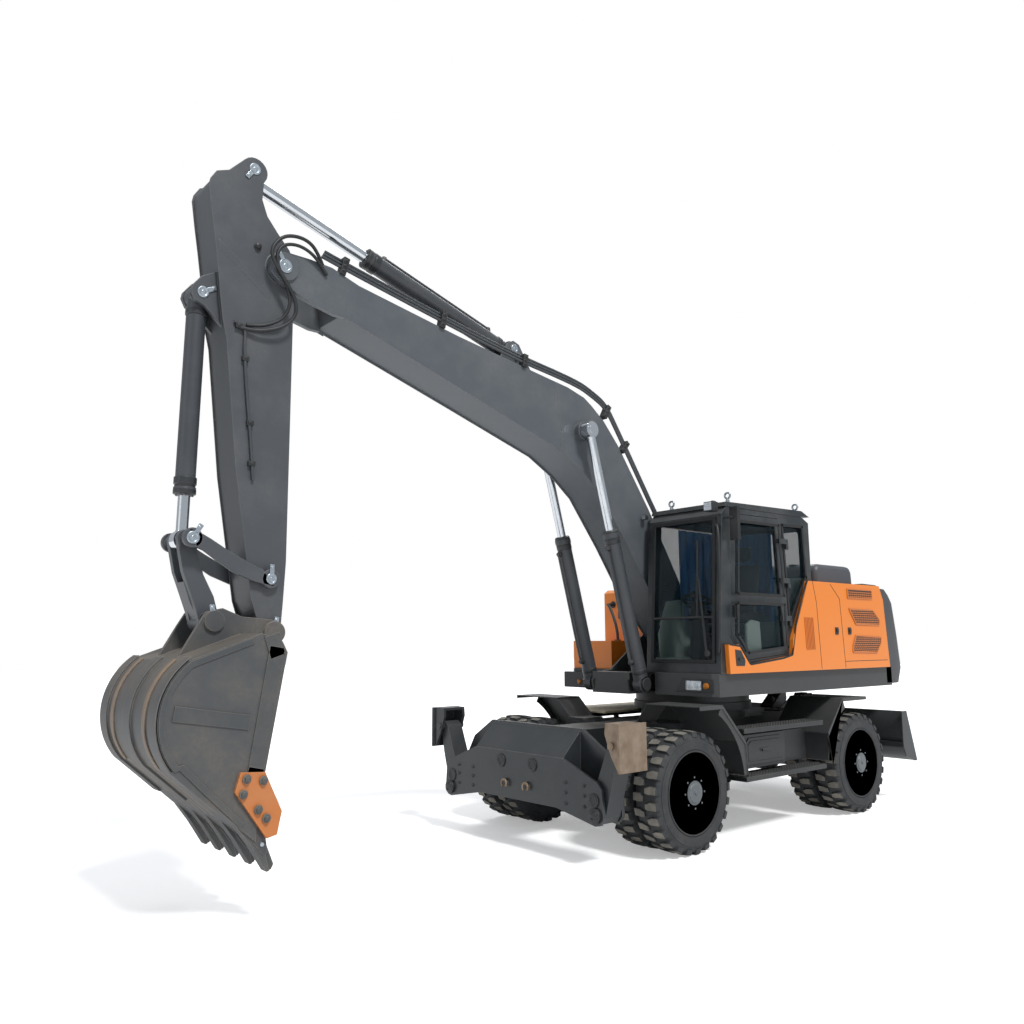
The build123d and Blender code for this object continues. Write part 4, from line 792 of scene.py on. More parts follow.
# sensor knob and pipe clamps on the arm's side, then the pipe they hold
shape = bmesh.new()
knob = [(0, 30), (8, 30), (10, 24), (26, 22), (30, 16), (30, 0)]
turned(shape, knob, at(5110, 175, 4800), ACROSS, 28)
bolt_ring(shape, at(5110, 183, 4800), ACROSS, 22, 4, 8, 6)
for x, z in ((5235, 4140), (5175, 3900), (5120, 3420), (5096, 3120)):
    box(shape, x - 26, x + 26, 174, 204, z - 18, z + 18)
    bolt(shape, at(x, 204, z), ACROSS, 17, 10)
fit("arm_fittings", shape, "arm", black, 0.002)
route = [
    (5270, 192, 4168), (5180, 192, 4150), (5190, 192, 4010), (5153, 192, 3625), (5108, 192, 3293),
    (5080, 192, 3000),
]
run_pipe("arm_pipe", route, 11, "arm", pipe_paint)


def pressure_hose(name, points, radius):
    """A hydraulic hose from the boom to the arm: a mesh tube on a smooth line, attached to neither
    body.
    """
    guide = smooth_line(name + "_line", points, 12)
    bpy.context.view_layer.update()
    path = [vert.co.copy() for vert in bpy.data.meshes.new_from_object(guide).vertices]
    bpy.data.objects.remove(guide)
    shape = bmesh.new()
    sides = 14
    rings = []
    normal = Vector((0, 1, 0))
    for i, centre in enumerate(path):
        ahead = (path[min(i + 1, len(path) - 1)] - path[max(i - 1, 0)]).normalized()
        # the last ring's direction carried on, so that the tube does not twist
        normal = (normal - ahead * normal.dot(ahead)).normalized()
        points_round = circle(centre, normal, ahead.cross(normal), radius, sides)
        rings.append([shape.verts.new(point) for point in points_round])
    for lower, upper in zip(rings, rings[1:]):
        for k in range(sides):
            m = (k + 1) % sides
            shape.faces.new((lower[k], lower[m], upper[m], upper[k]))
    shape.faces.new(rings[0])
    shape.faces.new(rings[-1])
    piece = fit(name, shape, None, hose)
    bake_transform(piece)


# two hoses from the boom's pipes round the arm pivot to the arm, (x, y, z)
pressure_hose(
    "arm_hose_1",
    [
        (4600, 246, 4775), (4660, 268, 4860), (4740, 284, 4915), (4850, 290, 4925), (4960, 290, 4890),
        (5040, 290, 4790), (5045, 290, 4700), (4965, 290, 4590), (4880, 290, 4480), (4826, 284, 4380),
        (4830, 274, 4280), (4910, 254, 4190), (5040, 230, 4135), (5150, 206, 4120), (5235, 192, 4130),
    ],
    14,
)
pressure_hose(
    "arm_hose_2",
    [
        (4560, 246, 4700), (4640, 262, 4790), (4740, 270, 4850), (4850, 272, 4865), (4950, 272, 4830),
        (4998, 272, 4750), (4985, 272, 4650), (4930, 272, 4555), (4880, 270, 4450), (4872, 262, 4350),
        (4915, 244, 4255), (5000, 222, 4200), (5090, 204, 4165), (5180, 192, 4160),
    ],
    13,
)


# ---- undercarriage --------------------------------------------------------------------------
def folded_sheet(shape, outline, thickness, hand, inner, outer):
    """A sheet bent along an open side outline (x, z), thickness measured downwards."""
    sided_plate(shape, outline + [(x, z - thickness) for x, z in outline[::-1]], hand, inner, outer)


# each fender: its node, its fold line, its axle, the flank's radius round it, and the leaning
# plate's ends at the fold and at the chassis
FENDERS = (
    (
        "fenders_front", [(632, 600), (660, 903), (992, 1245), (1320, 1245)], FRONT_AXLE_X, 745,
        (992, 1310), (1000, 1280),
    ),
    (
        "fenders_rear", [(-850, 593), (-793, 876), (-1118, 1214), (-1605, 1214)], REAR_AXLE_X, 642,
        (-1560, -1118), (-1260, -1120),
    ),
)
# flanks end under this height, and a fold above it is taken as 10 mm higher
FLANK_TOP = 1230
for node_name, line, axle_x, reach, top_span, bracket in FENDERS:
    shape = bmesh.new()
    for hand in (1, -1):
        folded_sheet(shape, line, 10, hand, 605, 1235)
        # turned-down lip along the outside
        folded_sheet(shape, line, 34, hand, 1235, 1245)
        # flank between the slope and the wheel's circle
        slope = line[:3]
        first, last = [atan2(z - AXLE_Z, x - axle_x) for x, z in (slope[0], slope[2])]
        turns = [first + (last - first) * i / 12 for i in range(13)]
        edge = [(axle_x + reach * cos(turn), AXLE_Z + reach * sin(turn)) for turn in turns]
        inside = [point for point in edge if point[1] < FLANK_TOP]
        sided_plate(shape, slope + inside[::-1], hand, 1226, 1236)
        # leaning plate from the inner fold down to the chassis, and its bracket
        fold_z = line[-1][1] if line[-1][1] < FLANK_TOP else FLANK_TOP + 10
        corners = [at(x, hand * 612, fold_z - 6) for x in top_span]
        corners += [at(x, hand * 445, 1052) for x in bracket[::-1]]
        prism(shape, corners, Vector((0, hand * 0.009, 0)))
        sided_box(shape, hand, *bracket, 256, 470, 1030, 1054)
    piece = fit(node_name + "_sheets", shape, "undercarriage", fender_paint, 0.003)
    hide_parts(node_name)

DOOR_Y = 1120
for hand, node_name in ((1, "steps_left"), (-1, "steps_right")):
    shape = bmesh.new()
    for sides in (
        # the two treads and the three hangers between them
        (-690, 680, 1000, 1248, 968, 1012),
        (-715, 670, 1000, 1248, 532, 576),
        (-600, -540, 1010, 1040, 560, 990),
        (-60, 0, 1010, 1040, 560, 990),
        (520, 580, 1010, 1040, 560, 990),
        # the box behind them
        (-170, 540, 250, 1120, 620, 935),
        (-620, -170, 250, 900, 680, 900),
        (-640, -60, 1040, 1060, 620, 930),
        # door handle
        (120, 250, DOOR_Y + 12, DOOR_Y + 32, 770, 795),
    ):
        sided_box(shape, hand, *sides)
    # door pressed into the box's face, and its frame
    frame_line = [(-130, 650), (500, 650), (500, 860), (440, 905), (-70, 905), (-130, 860)]
    sided_plate(shape, frame_line, hand, DOOR_Y, DOOR_Y + 9)
    door_line = [(-90, 685), (460, 685), (460, 845), (415, 875), (-50, 875), (-90, 845)]
    sided_plate(shape, door_line, hand, DOOR_Y + 8, DOOR_Y + 14)
    piece = fit(node_name + "_plates", shape, "undercarriage", box_paint, 0.004)
    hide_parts(node_name)
    # punched grip teeth along both treads, 46 mm apart
    shape = bmesh.new()
    for x_low, x_high, z in ((-680, 670, 1012), (-705, 660, 576)):
        for row in (1050, 1110, 1170, 1228):
            for i in range(int((x_high - x_low) / 46)):
                tooth = at(x_low + 24 + 46 * i, hand * row, z)
                turned(shape, [(-2, 13), (5, 10), (6, 7), (1, 6)], tooth, UPWARD, 8)
    fit(node_name + "_grips", shape, "undercarriage", box_paint)

# deck plate beside the ring, right side, pale partly from dust and partly as painted sunlight
shape = bmesh.new()
ring = [(-150 + 580 * cos(radians(a)), 580 * sin(radians(a))) for a in range(-52, -129, -8)]
corners = [at(x, y, 1060) for x, y in [(-640, -450), (-640, -1245), (760, -1245), (760, -450)] + ring]
prism(shape, corners, Vector((0, 0, 0.022)))
fit("deck_plate", shape, "undercarriage", dust_and_painted_sun_deck_paint, 0.003)

# outriggers: bosses and cover bolts on the front face, then the tow shackles of bent round bar
shape = bmesh.new()
for hand in (1, -1):
    boss = [(-2, 60), (10, 60), (12, 56), (12, 36), (6, 34)]
    for y, z in ((970, 533), (215, 742)):
        turned(shape, boss, at(2400, hand * y, z), FORWARD, 36)
    # bolted cover plate over the cross tube
    for y in (640, 860):
        for z in (470, 560, 640):
            bolt(shape, at(2400, hand * y, z), FORWARD, 24, 14)
    turned(shape, [(0, 62), (24, 62), (28, 56), (28, 0)], at(2400, hand * 990, 417), FORWARD, 36)
    bolt_ring(shape, at(2428, hand * 990, 417), FORWARD, 38, 4, 17, 9)
fit("outrigger_bosses", shape, "undercarriage", black, 0.003)
shape = bmesh.new()
for hand in (1, -1):
    for hook in range(10):
        turn = radians(-30 + 28 * hook)
        centre = at(2424, hand * 147 + 34 * cos(turn), 548 + 34 * sin(turn))
        along = Vector((0, -sin(turn), cos(turn)))
        turned(shape, [(-9, 11), (9, 11)], centre, along, 12)
fit("tow_shackles", shape, "undercarriage", dull_steel, 0.002)

# ---- upper body -----------------------------------------------------------------------------
# counterweight: one casting, its tail rounded in plan
shape = bmesh.new()
rings = []
# height, then stations of the front, of the flank's end and of the tail
for z, front, flank, tail in (
    (1330, -2203, -2380, -2790),
    (1503, -2203, -2455, -2880),
    (1900, -2203, -2395, -2828),
    (2256, -2128, -2321, -2760),
    (2350, -2060, -2240, -2690),
    (2418, -1966, -2158, -2590),
):
    plan = [(front, 1190)]
    for i in range(25):
        turn = pi * i / 24
        y = 1190 * (1 if cos(turn) > 0 else -1) * abs(cos(turn)) ** 0.62
        plan.append((flank + (tail - flank) * sin(turn) ** 0.72, y))
    plan.append((front, -1190))
    rings.append([shape.verts.new(at(x, y, z)) for x, y in plan])
for lower, upper_ring in zip(rings, rings[1:]):
    for i in range(len(lower)):
        j = (i + 1) % len(lower)
        shape.faces.new((lower[i], lower[j], upper_ring[j], upper_ring[i]))
shape.faces.new(rings[0][::-1])
shape.faces.new(rings[-1])
casting = fit("counterweight_casting", shape, "upper", cast, 0.012)
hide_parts("counterweight")
shape = bmesh.new()
for y in (620, -620):
    for i in range(12):
        turn = pi * i / 11
        middle = at(-2420 + 52 * cos(turn), y, 2425 + 52 * sin(turn))
        turned(shape, [(-16, 15), (16, 15)], middle, (-sin(turn), 0, cos(turn)), 14)
fit("lifting_eyes", shape, "upper", black, 0.002)

# hump over the engine, its side rails and the intake box
shape = bmesh.new()
hump_line = [(-1235, 2436), (-1262, 2640), (-1330, 2682), (-1985, 2682), (-2050, 2630), (-2060, 2436)]
side_plate(shape, hump_line, -380, 930)
fit("hood_hump", shape, "upper", hump_paint, 0.045)
shape = bmesh.new()
side_plate(shape, [(-2370, 2410), (-2350, 2472), (-2030, 2478), (-2010, 2418)], 880, 1060)
box(shape, -1880, -1290, 250, 330, 2680, 2694)
box(shape, -1880, -1290, 560, 640, 2680, 2694)
fit("hood_boxes", shape, "upper", black, 0.012)


def grille(dark, bars, outline, step):
    """A framed grille on the left housing: dark mesh behind, slats of the panel's own paint across."""
    side_plate(dark, outline, 1243, 1248)
    low_z = min(z for x, z in outline)
    high_z = max(z for x, z in outline)
    z = low_z + step * 0.7
    while z < high_z - step * 0.3:
        cuts = []
        for (x1, z1), (x2, z2) in pairs_round(outline):
            if (z1 - z) * (z2 - z) < 0:
                cuts.append(x1 + (x2 - x1) * (z - z1) / (z2 - z1))
        if len(cuts) == 2:
            box(bars, min(cuts), max(cuts), 1246, 1254, z - 4, z + 4)
            x = min(cuts) + 30
            while x < max(cuts) - 8:
                box(bars, x - 3, x + 3, 1246, 1252, z - step / 2, z + step / 2)
                x += 44
        z += step
    for start, stop in pairs_round(outline):
        side_plate(bars, bar_outline(start, stop, 7), 1244, 1256)


dark = bmesh.new()
bars = bmesh.new()
for outline in (
    [(-1330, 2285), (-1860, 2285), (-1860, 2380), (-1330, 2380)],
    [(-1344, 2165), (-1858, 2158), (-1999, 2056), (-1990, 1993), (-1476, 1999)],
    [(-1461, 1874), (-2016, 1857), (-2007, 1792), (-1905, 1686), (-1378, 1698), (-1395, 1774)],
):
    grille(dark, bars, outline, 24)
# slanted louvres behind the cab
for i in range(7):
    x = -441 - 26 * i
    side_plate(bars, [(x, 2060), (x - 10, 2060), (x - 28, 1730), (x - 18, 1730)], 1244, 1252)
# door seams
for seam in (
    [(-983, 2423), (-1163, 2268), (-1217, 1531)],
    [(-636, 2444), (-694, 2215), (-735, 1532)],
    [(-1217, 1600), (-2150, 1600)],
):
    for start, stop in zip(seam, seam[1:]):
        side_plate(dark, bar_outline(start, stop, 3), 1240, 1247)
# latches and the handle's recess
for x in (-1068, -1334):
    box(dark, x - 30, x + 30, 1243, 1252, 1885, 1962)
    box(dark, x - 16, x + 16, 1250, 1264, 1905, 1945)
side_plate(dark, [(766, 1743), (677, 1733), (614, 1634), (627, 1590), (756, 1593)], 1243, 1250)
box(dark, 640, 720, 1248, 1262, 1640, 1664)
fit("housing_grilles", dark, "upper", plastic, 0.001)
fit("housing_slats", bars, "upper", orange_dull, 0.0015)
# dark outline round the orange panel's front tip
shape = bmesh.new()
tip = [
    (852, 1791), (659, 1772), (524, 1600), (-36, 1651), (-203, 1682), (-290, 1973), (-445, 2288),
    (-552, 2450),
]
for start, stop in zip(tip, tip[1:]):
    side_plate(shape, bar_outline(start, stop, 9), 1236, 1246)
fit("panel_seal", shape, "upper", seal, 0.002)

# handrails on the right side's tank: bent tube
shape = bmesh.new()
for tank_y, bend_y, foot_y in ((-1100, -1005, -889), (-700, -802, -663)):
    route = [(-100, tank_y, 2262), (-40, tank_y, 2262), (10, tank_y, 2262)]
    route += [(60, bend_y, 2235), (60, foot_y, 1960), (60, foot_y, 1832)]
    run_pipe("handrail_%d" % abs(tank_y), route, 17, "upper", black)
    foot = [(0, 40), (10, 40), (12, 38), (12, 17)]
    turned(shape, foot, at(60, foot_y, 1832), UPWARD, 28)
    turned(shape, foot, at(-100, tank_y, 2262), FORWARD, 28)
feet = fit("handrail_feet", shape, "upper", black, 0.001)
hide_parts("handrails")

# storage and tank patches, right side
shape = bmesh.new()
box(shape, -106, -92, -1020, -720, 2090, 2200)
box(shape, 538, 604, -1240, -700, 1308, 1483)
fit("right_slots", shape, "upper", black, 0.006)


def work_lamp(name, x, y, z, half):
    """A square work lamp: moulded housing, chromed bowl, clear lens and its bracket."""

    def block(shape, back, front, width, low, high):
        heights = (z + half * low, z + half * high)
        box(shape, x + half * back, x + half * front, y - width, y + width, *heights)

    shape = bmesh.new()
    block(shape, -1.1, 0.86, half, -0.92, 0.92)
    block(shape, -1.5, -0.4, 12, -0.5, 1.25)
    fit(name + "_housing", shape, "upper", plastic, 0.005)
    shape = bmesh.new()
    block(shape, 0.84, 0.92, half * 0.84, -0.76, 0.76)
    bowl = [(half * 0.9, half * 0.7), (half * 0.96, half * 0.3), (half * 0.96, 0)]
    turned(shape, bowl, at(x, y, z), FORWARD, 32)
    fit(name + "_bowl", shape, "upper", bright_steel)
    shape = bmesh.new()
    block(shape, 0.98, 1.04, half * 0.82, -0.74, 0.74)
    fit(name + "_lens", shape, "upper", lamp_glass)


work_lamp("roof_lamp_left", 930, 1150, 3090, 50)
# the right one is small, since the boom's pipes and the cylinder's rod pass either side of it
work_lamp("roof_lamp_right", 862, 270, 3090, 24)

# head lamps in the skirt with their covers, the recess round the left one, indicators
shape = bmesh.new()
cover = bmesh.new()
for x, y, z in ((988, 933, 1411), (602, -818, 1378)):
    box(shape, x, x + 12, y - 82, y + 82, z - 41, z + 41)
    for offset in (-42, 42):
        turned(shape, [(11, 36), (14, 30), (20, 12), (20, 0)], at(x, y + offset, z), FORWARD, 28)
    box(cover, x + 22, x + 27, y - 86, y + 86, z - 44, z + 44)
fit("head_lamps", shape, "upper", bright_steel, 0.003)
fit("head_lamp_covers", cover, "upper", lamp_glass, 0.003)
shape = bmesh.new()
front_plate(shape, [(790, 1477), (709, 1345), (1150, 1345), (1150, 1470)], 984, 990)
fit("skirt_recess", shape, "upper", plastic, 0.003)
shape = bmesh.new()
for x, y, z in ((990, 1070, 1408), (604, -986, 1373)):
    turned(shape, [(0, 30), (14, 28), (20, 20), (22, 0)], at(x, y, z), FORWARD, 28)
fit("indicators", shape, "upper", amber)

# cab: roof eyes, then seals round the glass, rails and wiper
shape = bmesh.new()
for x in (585, -615):
    for y in (400, 1100):
        turned(shape, [(-10, 20), (18, 20), (22, 14), (34, 14)], at(x, y, 3180), UPWARD, 20)
        for i in range(12):
            turn = 2 * pi * i / 12
            middle = at(x, y + 30 * cos(turn), 3240 + 28 * sin(turn))
            turned(shape, [(-10, 10), (10, 10)], middle, (0, -sin(turn), cos(turn)), 10)
fit("roof_eyes", shape, "upper", bright_steel)


def seal_loop(shape, corners, width, shift):
    """A rubber seal: strips along the closed loop of points, each joined to the next."""
    half = width / 2000
    for low, high in pairs_round(corners):
        along = (high - low).normalized()
        across = along.cross(shift).normalized() * half
        start, stop = low - along * half, high + along * half
        prism(shape, [start - across, stop - across, stop + across, start + across], shift)


def screen_x(z):
    """Station of the windscreen's leaning face at height z."""
    return 925 - 95 * (z - 1640) / 1390


def wiper_bar(shape, low, high, low_half, high_half):
    """A tapered bar of the wiper, 12 mm thick, between two points."""
    low_step, high_step = Vector((0, low_half / 1000, 0)), Vector((0, high_half / 1000, 0))
    corners = [low - low_step, high - high_step, high + high_step, low + low_step]
    prism(shape, corners, Vector((0.012, 0, 0)))


shape = bmesh.new()
screen = [at(screen_x(z) + 2, y, z) for y, z in ((380, 1632), (1120, 1632), (1120, 2988), (380, 2988))]
seal_loop(shape, screen, 34, Vector((0.014, 0, 0)))
rear_line = [(-245, 2010), (-185, 3000), (-560, 3010), (-590, 2480)]
seal_loop(shape, [at(x, 1198, z) for x, z in rear_line], 30, Vector((0, 0.010, 0)))
fit("glass_seals", shape, "upper", seal, 0.003)
shape = bmesh.new()
for outline in (
    [(-100, 2270), (-60, 2980), (620, 2970), (670, 2270)],
    [(-125, 1760), (-104, 2180), (676, 2180), (700, 1880), (540, 1710)],
):
    seal_loop(shape, [at(x, 1238, z) for x, z in outline], 28, Vector((0, 0.0075, 0)))
box(shape, 700, 728, 1242, 1262, 2040, 2160)
fit("door_seals", shape, "door", seal, 0.003)
route = [(902, 400, 2045), (922, 420, 2045), (924, 750, 2045), (922, 1080, 2045), (902, 1100, 2045)]
run_pipe("screen_rail", route, 11, "upper", black)
shape = bmesh.new()
wiper_bar(shape, at(screen_x(1700) + 26, 1060, 1700), at(screen_x(2420) + 30, 960, 2420), 12, 8)
turned(shape, [(0, 34), (30, 30), (36, 20), (36, 0)], at(screen_x(1700), 1060, 1700), FORWARD, 24)
wiper_bar(shape, at(screen_x(2050) + 18, 940, 2050), at(screen_x(2790) + 18, 935, 2790), 10, 10)
fit("screen_wiper", shape, "upper", plastic, 0.002)
route = [(905, 1150, 1690), (935, 1190, 1700), (925, 1205, 2100), (900, 1205, 2500), (880, 1190, 2900)]
run_pipe("cab_front_rail", route + [(850, 1150, 2920)], 14, "upper", black)

# inside the cab: green trim, steering wheel, curtain
shape = bmesh.new()
box(shape, -640, -600, 340, 1150, 1640, 2480)
right_trim = [(-300, 1640), (780, 1640), (800, 1900), (640, 2230), (420, 2250), (-300, 1960)]
side_plate(shape, right_trim, 322, 350)
side_plate(shape, [(180, 1640), (420, 1640), (420, 1980), (330, 2030), (200, 2010)], 1110, 1150)
box(shape, 500, 880, 340, 700, 1625, 1660)
fit("cab_lining", shape, "upper", trim_green, 0.02)
# steering wheel: rim of short lengths, three spokes and the boss
shape = bmesh.new()
centre = at(590, 740, 2190)
tilt, first, second = across_axis((-0.45, 0, 0.9))
for i in range(48):
    turn = 2 * pi * i / 48
    middle = centre + (first * cos(turn) + second * sin(turn)) * 0.185
    tangent = second * cos(turn) - first * sin(turn)
    turned(shape, [(-13, 13), (13, 13)], middle, tangent, 12)
for i in range(3):
    turn = 2 * pi * i / 3 + 0.4
    outer = centre + (first * cos(turn) + second * sin(turn)) * 0.18
    turned(shape, [(0, 12), (180, 10)], centre, outer - centre, 12)
turned(shape, [(-40, 40), (12, 46), (18, 36), (18, 0)], centre, tilt, 28)
fit("steering_wheel", shape, "upper", plastic, 0.001, 40)

# curtain: one cloth, gathered in folds about 130 mm apart
shape = bmesh.new()
CURTAIN_DROP = 960
columns = 150
rows = 16
grid = []
for i in range(columns + 1):
    # along the rear window, round its corner and along the right window
    along = 1480 * i / columns
    if along < 460:
        x, y, nx, ny = -540, 840 - along, 1, 0
    elif along < 540:
        turn = (along - 460) / 80 * pi / 2
        x, y = -540 + 51 - 51 * cos(turn), 380 - 51 * sin(turn)
        nx, ny = cos(turn), sin(turn)
    else:
        x, y, nx, ny = -489 + along - 540, 352, 0, 1
    line = []
    for k in range(rows + 1):
        drop = k / rows
        wave = 15 * sin(along / 21) * (0.7 + 0.4 * drop) + 5 * sin(along / 57 + 1.3)
        line.append(shape.verts.new(at(x + nx * wave, y + ny * wave, 2985 - CURTAIN_DROP * drop)))
    grid.append(line)
for i in range(columns):
    for k in range(rows):
        shape.faces.new((grid[i][k], grid[i + 1][k], grid[i + 1][k + 1], grid[i][k + 1]))
curtain = fit("window_curtain", shape, "upper", curtain_cloth, 0.0, 180)


# seat: crowned cushion, back and head rest on a moulded base
def cushion(name, corners, thickness, crown):
    """A padded block between two outlines, swollen by crown in the middle, its corners pulled in."""
    shape = bmesh.new()
    (x0, y0, z0), (x1, y1, z1) = corners
    count = 14
    sheets = []
    for side in (-1, 1):
        sheet = []
        for i in range(count + 1):
            row = []
            for k in range(count + 1):
                u = i / count
                v = k / count
                rise = (sin(pi * u) * sin(pi * v)) ** 0.5
                pinch = 1 - 0.06 * (abs(2 * u - 1) * abs(2 * v - 1)) ** 2
                x = (x0 + x1) / 2 + (x1 - x0) * (u - 0.5) * pinch
                y = (y0 + y1) / 2 + (y1 - y0) * (v - 0.5) * pinch
                lift = side * (thickness / 2 * (0.55 + 0.45 * rise))
                if side > 0:
                    lift += crown * rise
                z = z0 + (z1 - z0) * u
                if abs(z1 - z0) > abs(x1 - x0):
                    row.append(shape.verts.new(at(x + lift, y, z)))
                else:
                    row.append(shape.verts.new(at(x, y, z + lift)))
            sheet.append(row)
        sheets.append(sheet)
    low_sheet, high_sheet = sheets
    for sheet in sheets:
        for i in range(count):
            for k in range(count):
                shape.faces.new((sheet[i][k], sheet[i + 1][k], sheet[i + 1][k + 1], sheet[i][k + 1]))
    rim = [(i, 0) for i in range(count)] + [(count, k) for k in range(count)]
    rim += [(i, count) for i in range(count, 0, -1)] + [(0, k) for k in range(count, 0, -1)]
    for (i, k), (m, n) in pairs_round(rim):
        shape.faces.new((low_sheet[i][k], low_sheet[m][n], high_sheet[m][n], high_sheet[i][k]))
    piece = fit(name, shape, "upper", seat_cloth, 0.012, 60)
    return piece


seat_pad = cushion("seat_cushion", ((-50, 500, 1930), (415, 980, 1945)), 120, 12)
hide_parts("seat")
cushion("seat_back", ((60, 510, 2000), (-110, 970, 2610)), 110, 14)
cushion("seat_headrest", ((-90, 620, 2640), (-120, 860, 2800)), 90, 8)
shape = bmesh.new()
box(shape, 0, 380, 520, 960, 1640, 1860)
for y in (420, 980):
    rest = [(-20, 2010), (-40, 2075), (10, 2110), (340, 2110), (400, 2085), (410, 2040), (300, 2010)]
    side_plate(shape, rest, y, y + 78)
    box(shape, 60, 240, y + 10, y + 70, 1860, 2015)
    # control lever with its grip
    lever = [(0, 24), (30, 22), (60, 14), (150, 14), (170, 26), (225, 28), (240, 16), (240, 0)]
    turned(shape, lever, at(360, y + 39, 2100), UPWARD, 20)
fit("seat_frame", shape, "upper", plastic, 0.008)


# ---- bucket and its links -------------------------------------------------------------------
def strip_along(shape, points, width, y_low, y_high):
    """A welded strip along a side line of points, its joints overlapping."""
    for low, high in zip(points, points[1:]):
        lead = (Vector(high) - Vector(low)).normalized() * (width * 0.3)
        start = (low[0] - lead.x, low[1] - lead.y)
        stop = (high[0] + lead.x, high[1] + lead.y)
        side_plate(shape, bar_outline(start, stop, width / 2), y_low, y_high)


def arc_through(first, middle, last, count):
    """Points of the circle through three side points."""
    (ax, az), (bx, bz), (cx, cz) = first, middle, last
    a, b, c = ax * ax + az * az, bx * bx + bz * bz, cx * cx + cz * cz
    twice = 2 * (ax * (bz - cz) + bx * (cz - az) + cx * (az - bz))
    x = (a * (bz - cz) + b * (cz - az) + c * (az - bz)) / twice
    z = (a * (cx - bx) + b * (ax - cx) + c * (bx - ax)) / twice
    radius = sqrt((ax - x) ** 2 + (az - z) ** 2)
    start = atan2(az - z, ax - x)
    stop = atan2(cz - z, cx - x)
    if stop - start > pi:
        stop -= 2 * pi
    if start - stop > pi:
        stop += 2 * pi
    turns = [start + (stop - start) * i / count for i in range(count + 1)]
    return [(x + radius * cos(turn), z + radius * sin(turn)) for turn in turns]


def ribbon(shape, points, width, y_low, y_high):
    """One strip of even width along a line of points, mitred at each."""
    left = []
    right = []
    for i, (x, z) in enumerate(points):
        before = points[max(i - 1, 0)]
        after = points[min(i + 1, len(points) - 1)]
        along = Vector((after[0] - before[0], after[1] - before[1])).normalized()
        side = Vector((-along.y, along.x)) * (width / 2)
        left.append((x + side.x, z + side.y))
        right.append((x - side.x, z - side.y))
    side_plate(shape, left + right[::-1], y_low, y_high)


back_line = arc_through((5691, 1036), (5800, 1330), (5620, 1715), 14)


def about_middle(share):
    """The back's line moved away from the bucket's middle by a share of its distance."""
    return [(x + (x - 5350) * share, z + (z - 1300) * share) for x, z in back_line]


shape = bmesh.new()
for hand in (1, -1):
    low, high = sorted((hand * 580, hand * 590))
    # border band down the cutting edge and round the back, and the strap across
    strip_along(shape, [(5062, 1850), (5034, 1765), (5155, 980), (5180, 880)], 110, low, high)
    inner_back = [(5200, 1840), *about_middle(-0.055)[::-1], (5640, 1060), (5480, 900), (5230, 660)]
    ribbon(shape, inner_back, 40, low, high)
    strip_along(shape, [(5678, 1385), (5235, 1312)], 96, low, high)
    # cutter bolts with their washers
    for x, z in ((5225, 952), (5109, 933), (5244, 858), (5138, 751), (5080, 690)):
        turned(shape, [(0, 30), (5, 30)], at(x, hand * 616, z), (0, hand, 0), 24)
        bolt(shape, at(x, hand * 620, z), (0, hand, 0), 34, 20)
fit("bucket_bands", shape, "bucket", bucket_dark, 0.003)

# wear strips round the back, and five along the sloping floor
shape = bmesh.new()
for y in (-556, -330, 330, 556):
    ribbon(shape, about_middle(0.012), 14, y - 24, y + 24)
for y in (-262, -131, 0, 131, 262):
    strip_along(shape, [(5290, 688), (5691, 1040)], 12, y - 16, y + 16)
fit("bucket_wear_strips", shape, "bucket", bucket_rust, 0.004)

# tooth adapters: forged noses over the lip, 262 mm apart, each with its pin
shape = bmesh.new()
pins = bmesh.new()
for y in (-524, -262, 0, 262, 524):
    holder = [(5240, 700), (5160, 740), (5060, 580), (5040, 470), (5075, 440), (5140, 520)]
    side_plate(shape, holder, y - 46, y + 46)
    nose = [(5085, 560), (5040, 500), (4990, 380), (5010, 345), (5040, 350), (5110, 470)]
    side_plate(shape, nose, y - 36, y + 36)
    turned(pins, [(-54, 14), (54, 14)], at(5085, y, 520), ACROSS, 16)
fit("tooth_adapters", shape, "bucket", tooth_steel, 0.008)
fit("tooth_pins", pins, "bucket", bright_steel, 0.001)

# idler links: curved bars, waisted between their bosses
shape = bmesh.new()
top_edge = [(5540, 2610), (5470, 2590), (5380, 2545), (5250, 2470), (5100, 2395), (4990, 2350)]
low_edge = [(4890, 2225), (5060, 2262), (5210, 2320), (5340, 2400), (5430, 2460), (5480, 2480)]
for hand in (1, -1):
    sided_plate(shape, top_edge + low_edge, hand, 195, 225)
    for pin in (IDLER_PIN, JOINT_PIN):
        sided_plate(shape, arc_points(*pin, 70, 0, 345, 23), hand, 195, 225)
    turned(shape, [(116, 46), (225, 46)], pin_at(JOINT_PIN, 0), (0, hand, 0), 32)
idler_bars = fit("idler_bars", shape, "idler_links", arm_paint, 0.004)
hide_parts("idler_links")

# bucket link: two tapered cheeks joined by a cross tube
shape = bmesh.new()
cheek = [(5575, 2555), (5560, 2480), (5525, 2320), (5470, 2180), (5420, 2050), (5398, 1975)]
cheek += arc_points(*LINK_PIN, 67, 0, -180, 10)
cheek += [(5262, 2020), (5300, 2150), (5380, 2300), (5430, 2450), (5440, 2545)]
cheek += arc_points(*JOINT_PIN, 67, 170, 10, 10)
for hand in (1, -1):
    sided_plate(shape, cheek, hand, 60, 110)
side_plate(shape, [(5440, 2260), (5500, 2250), (5450, 2110), (5390, 1990), (5320, 2040)], -62, 62)
turned(shape, [(-110, 67), (110, 67)], pin_at(LINK_PIN, 0), ACROSS, 40)
link_plates = fit("link_plates", shape, "bucket_link", arm_paint, 0.005)
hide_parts("bucket_link")

# caps of the pins: the bucket's ears carry the last two
for name, body, pins in (
    ("idler_pin_caps", "idler_links", ((JOINT_PIN, 226, 46, 120),)),
    ("bucket_pin_caps", "bucket", ((BUCKET_PIN, 212, 52, 100), (LINK_PIN, 212, 52, 80))),
):
    dress_pins(name, body, pins)


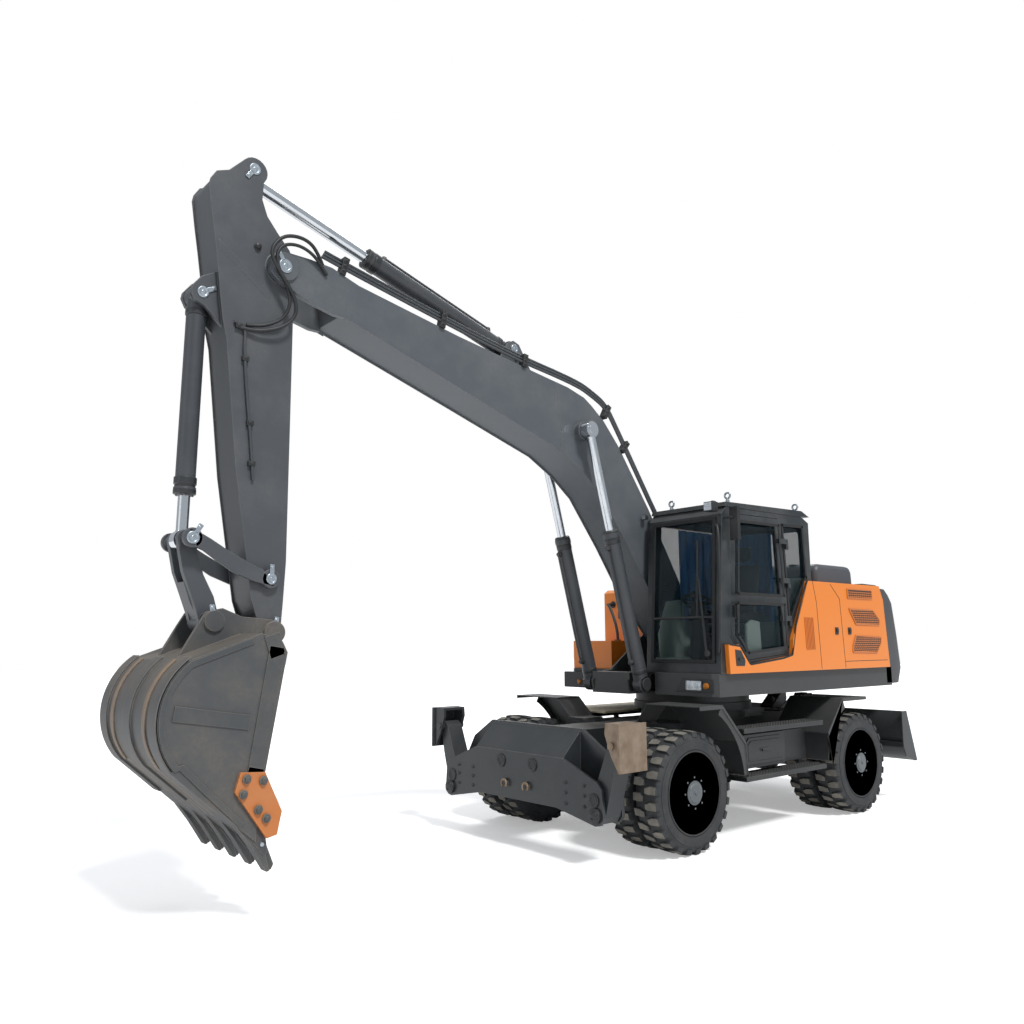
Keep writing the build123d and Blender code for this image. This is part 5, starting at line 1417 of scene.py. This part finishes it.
# ---- cylinders ------------------------------------------------------------------------------
def dress_barrel(name, body, base, eye, y, tube, length, proud=9, feed_side=1):
    """Gland nut with bolts and a band on a barrel; port blocks and a feed pipe where feed_side isn't 0.

    The feed pipe runs above the barrel where feed_side is 1 and below it where it is -1.
    """
    along = Vector((eye[0] - base[0], 0, eye[1] - base[1])).normalized()
    foot = at(base[0], y, base[1])
    head = foot + along * length / 1000
    shape = bmesh.new()
    collar, relief = tube + proud, tube + 2
    gland = [(-120, tube + 1), (-114, collar), (-66, collar), (-62, relief), (-34, relief)]
    gland += [(-30, collar), (4, collar), (8, relief), (16, tube * 0.76), (16, tube * 0.72)]
    turned(shape, gland, head, along, 40)
    bolt_ring(shape, head + along * 0.006, along, tube * 0.82, 8, 17, 12)
    band = [(110, tube + 1), (114, collar - 2), (150, collar - 2), (154, tube + 1)]
    turned(shape, band, foot, along, 40)
    out = along.cross(Vector((0, 1 if y >= 0 else -1, 0))).normalized()
    if out.z < 0:
        out = -out
    out = out * feed_side
    ports = [foot + along * length * share / 1000 for share in (0.16, 0.9)]
    if feed_side:
        for port in ports:
            block = [(-6, 30), (14, 30), (18, 24), (34, 22), (34, 0)]
            turned(shape, block, port + out * (tube + 4) / 1000, out, 6)
    fit(name + "_gland", shape, body, cylinder_dark, 0.0015)
    if feed_side:
        start, stop = [port + out * (tube + 34) / 1000 for port in ports]
        shape = bmesh.new()
        turned(shape, [(0, 11), ((stop - start).length * 1000, 11)], start - out * 0.006, along, 16)
        fit(name + "_feed", shape, body, pipe_paint)


dress_barrel("arm_cylinder", "arm_barrel", ARM_BASE, ARM_EYE, 0, 80, 1640)
dress_barrel("bucket_cylinder", "bucket_barrel", BUCKET_BASE, JOINT_PIN, 0, 70, 1480, feed_side=0)
# slimmer collars, and the feed pipe below, where the boom cylinders pass the cab
for hand, word in ((1, "left"), (-1, "right")):
    name = "boom_cylinder_" + word
    dress_barrel(name, "boom_barrels", BOOM_BASE, BOOM_EYE, hand * 342, 74, 1535, proud=4, feed_side=-1)
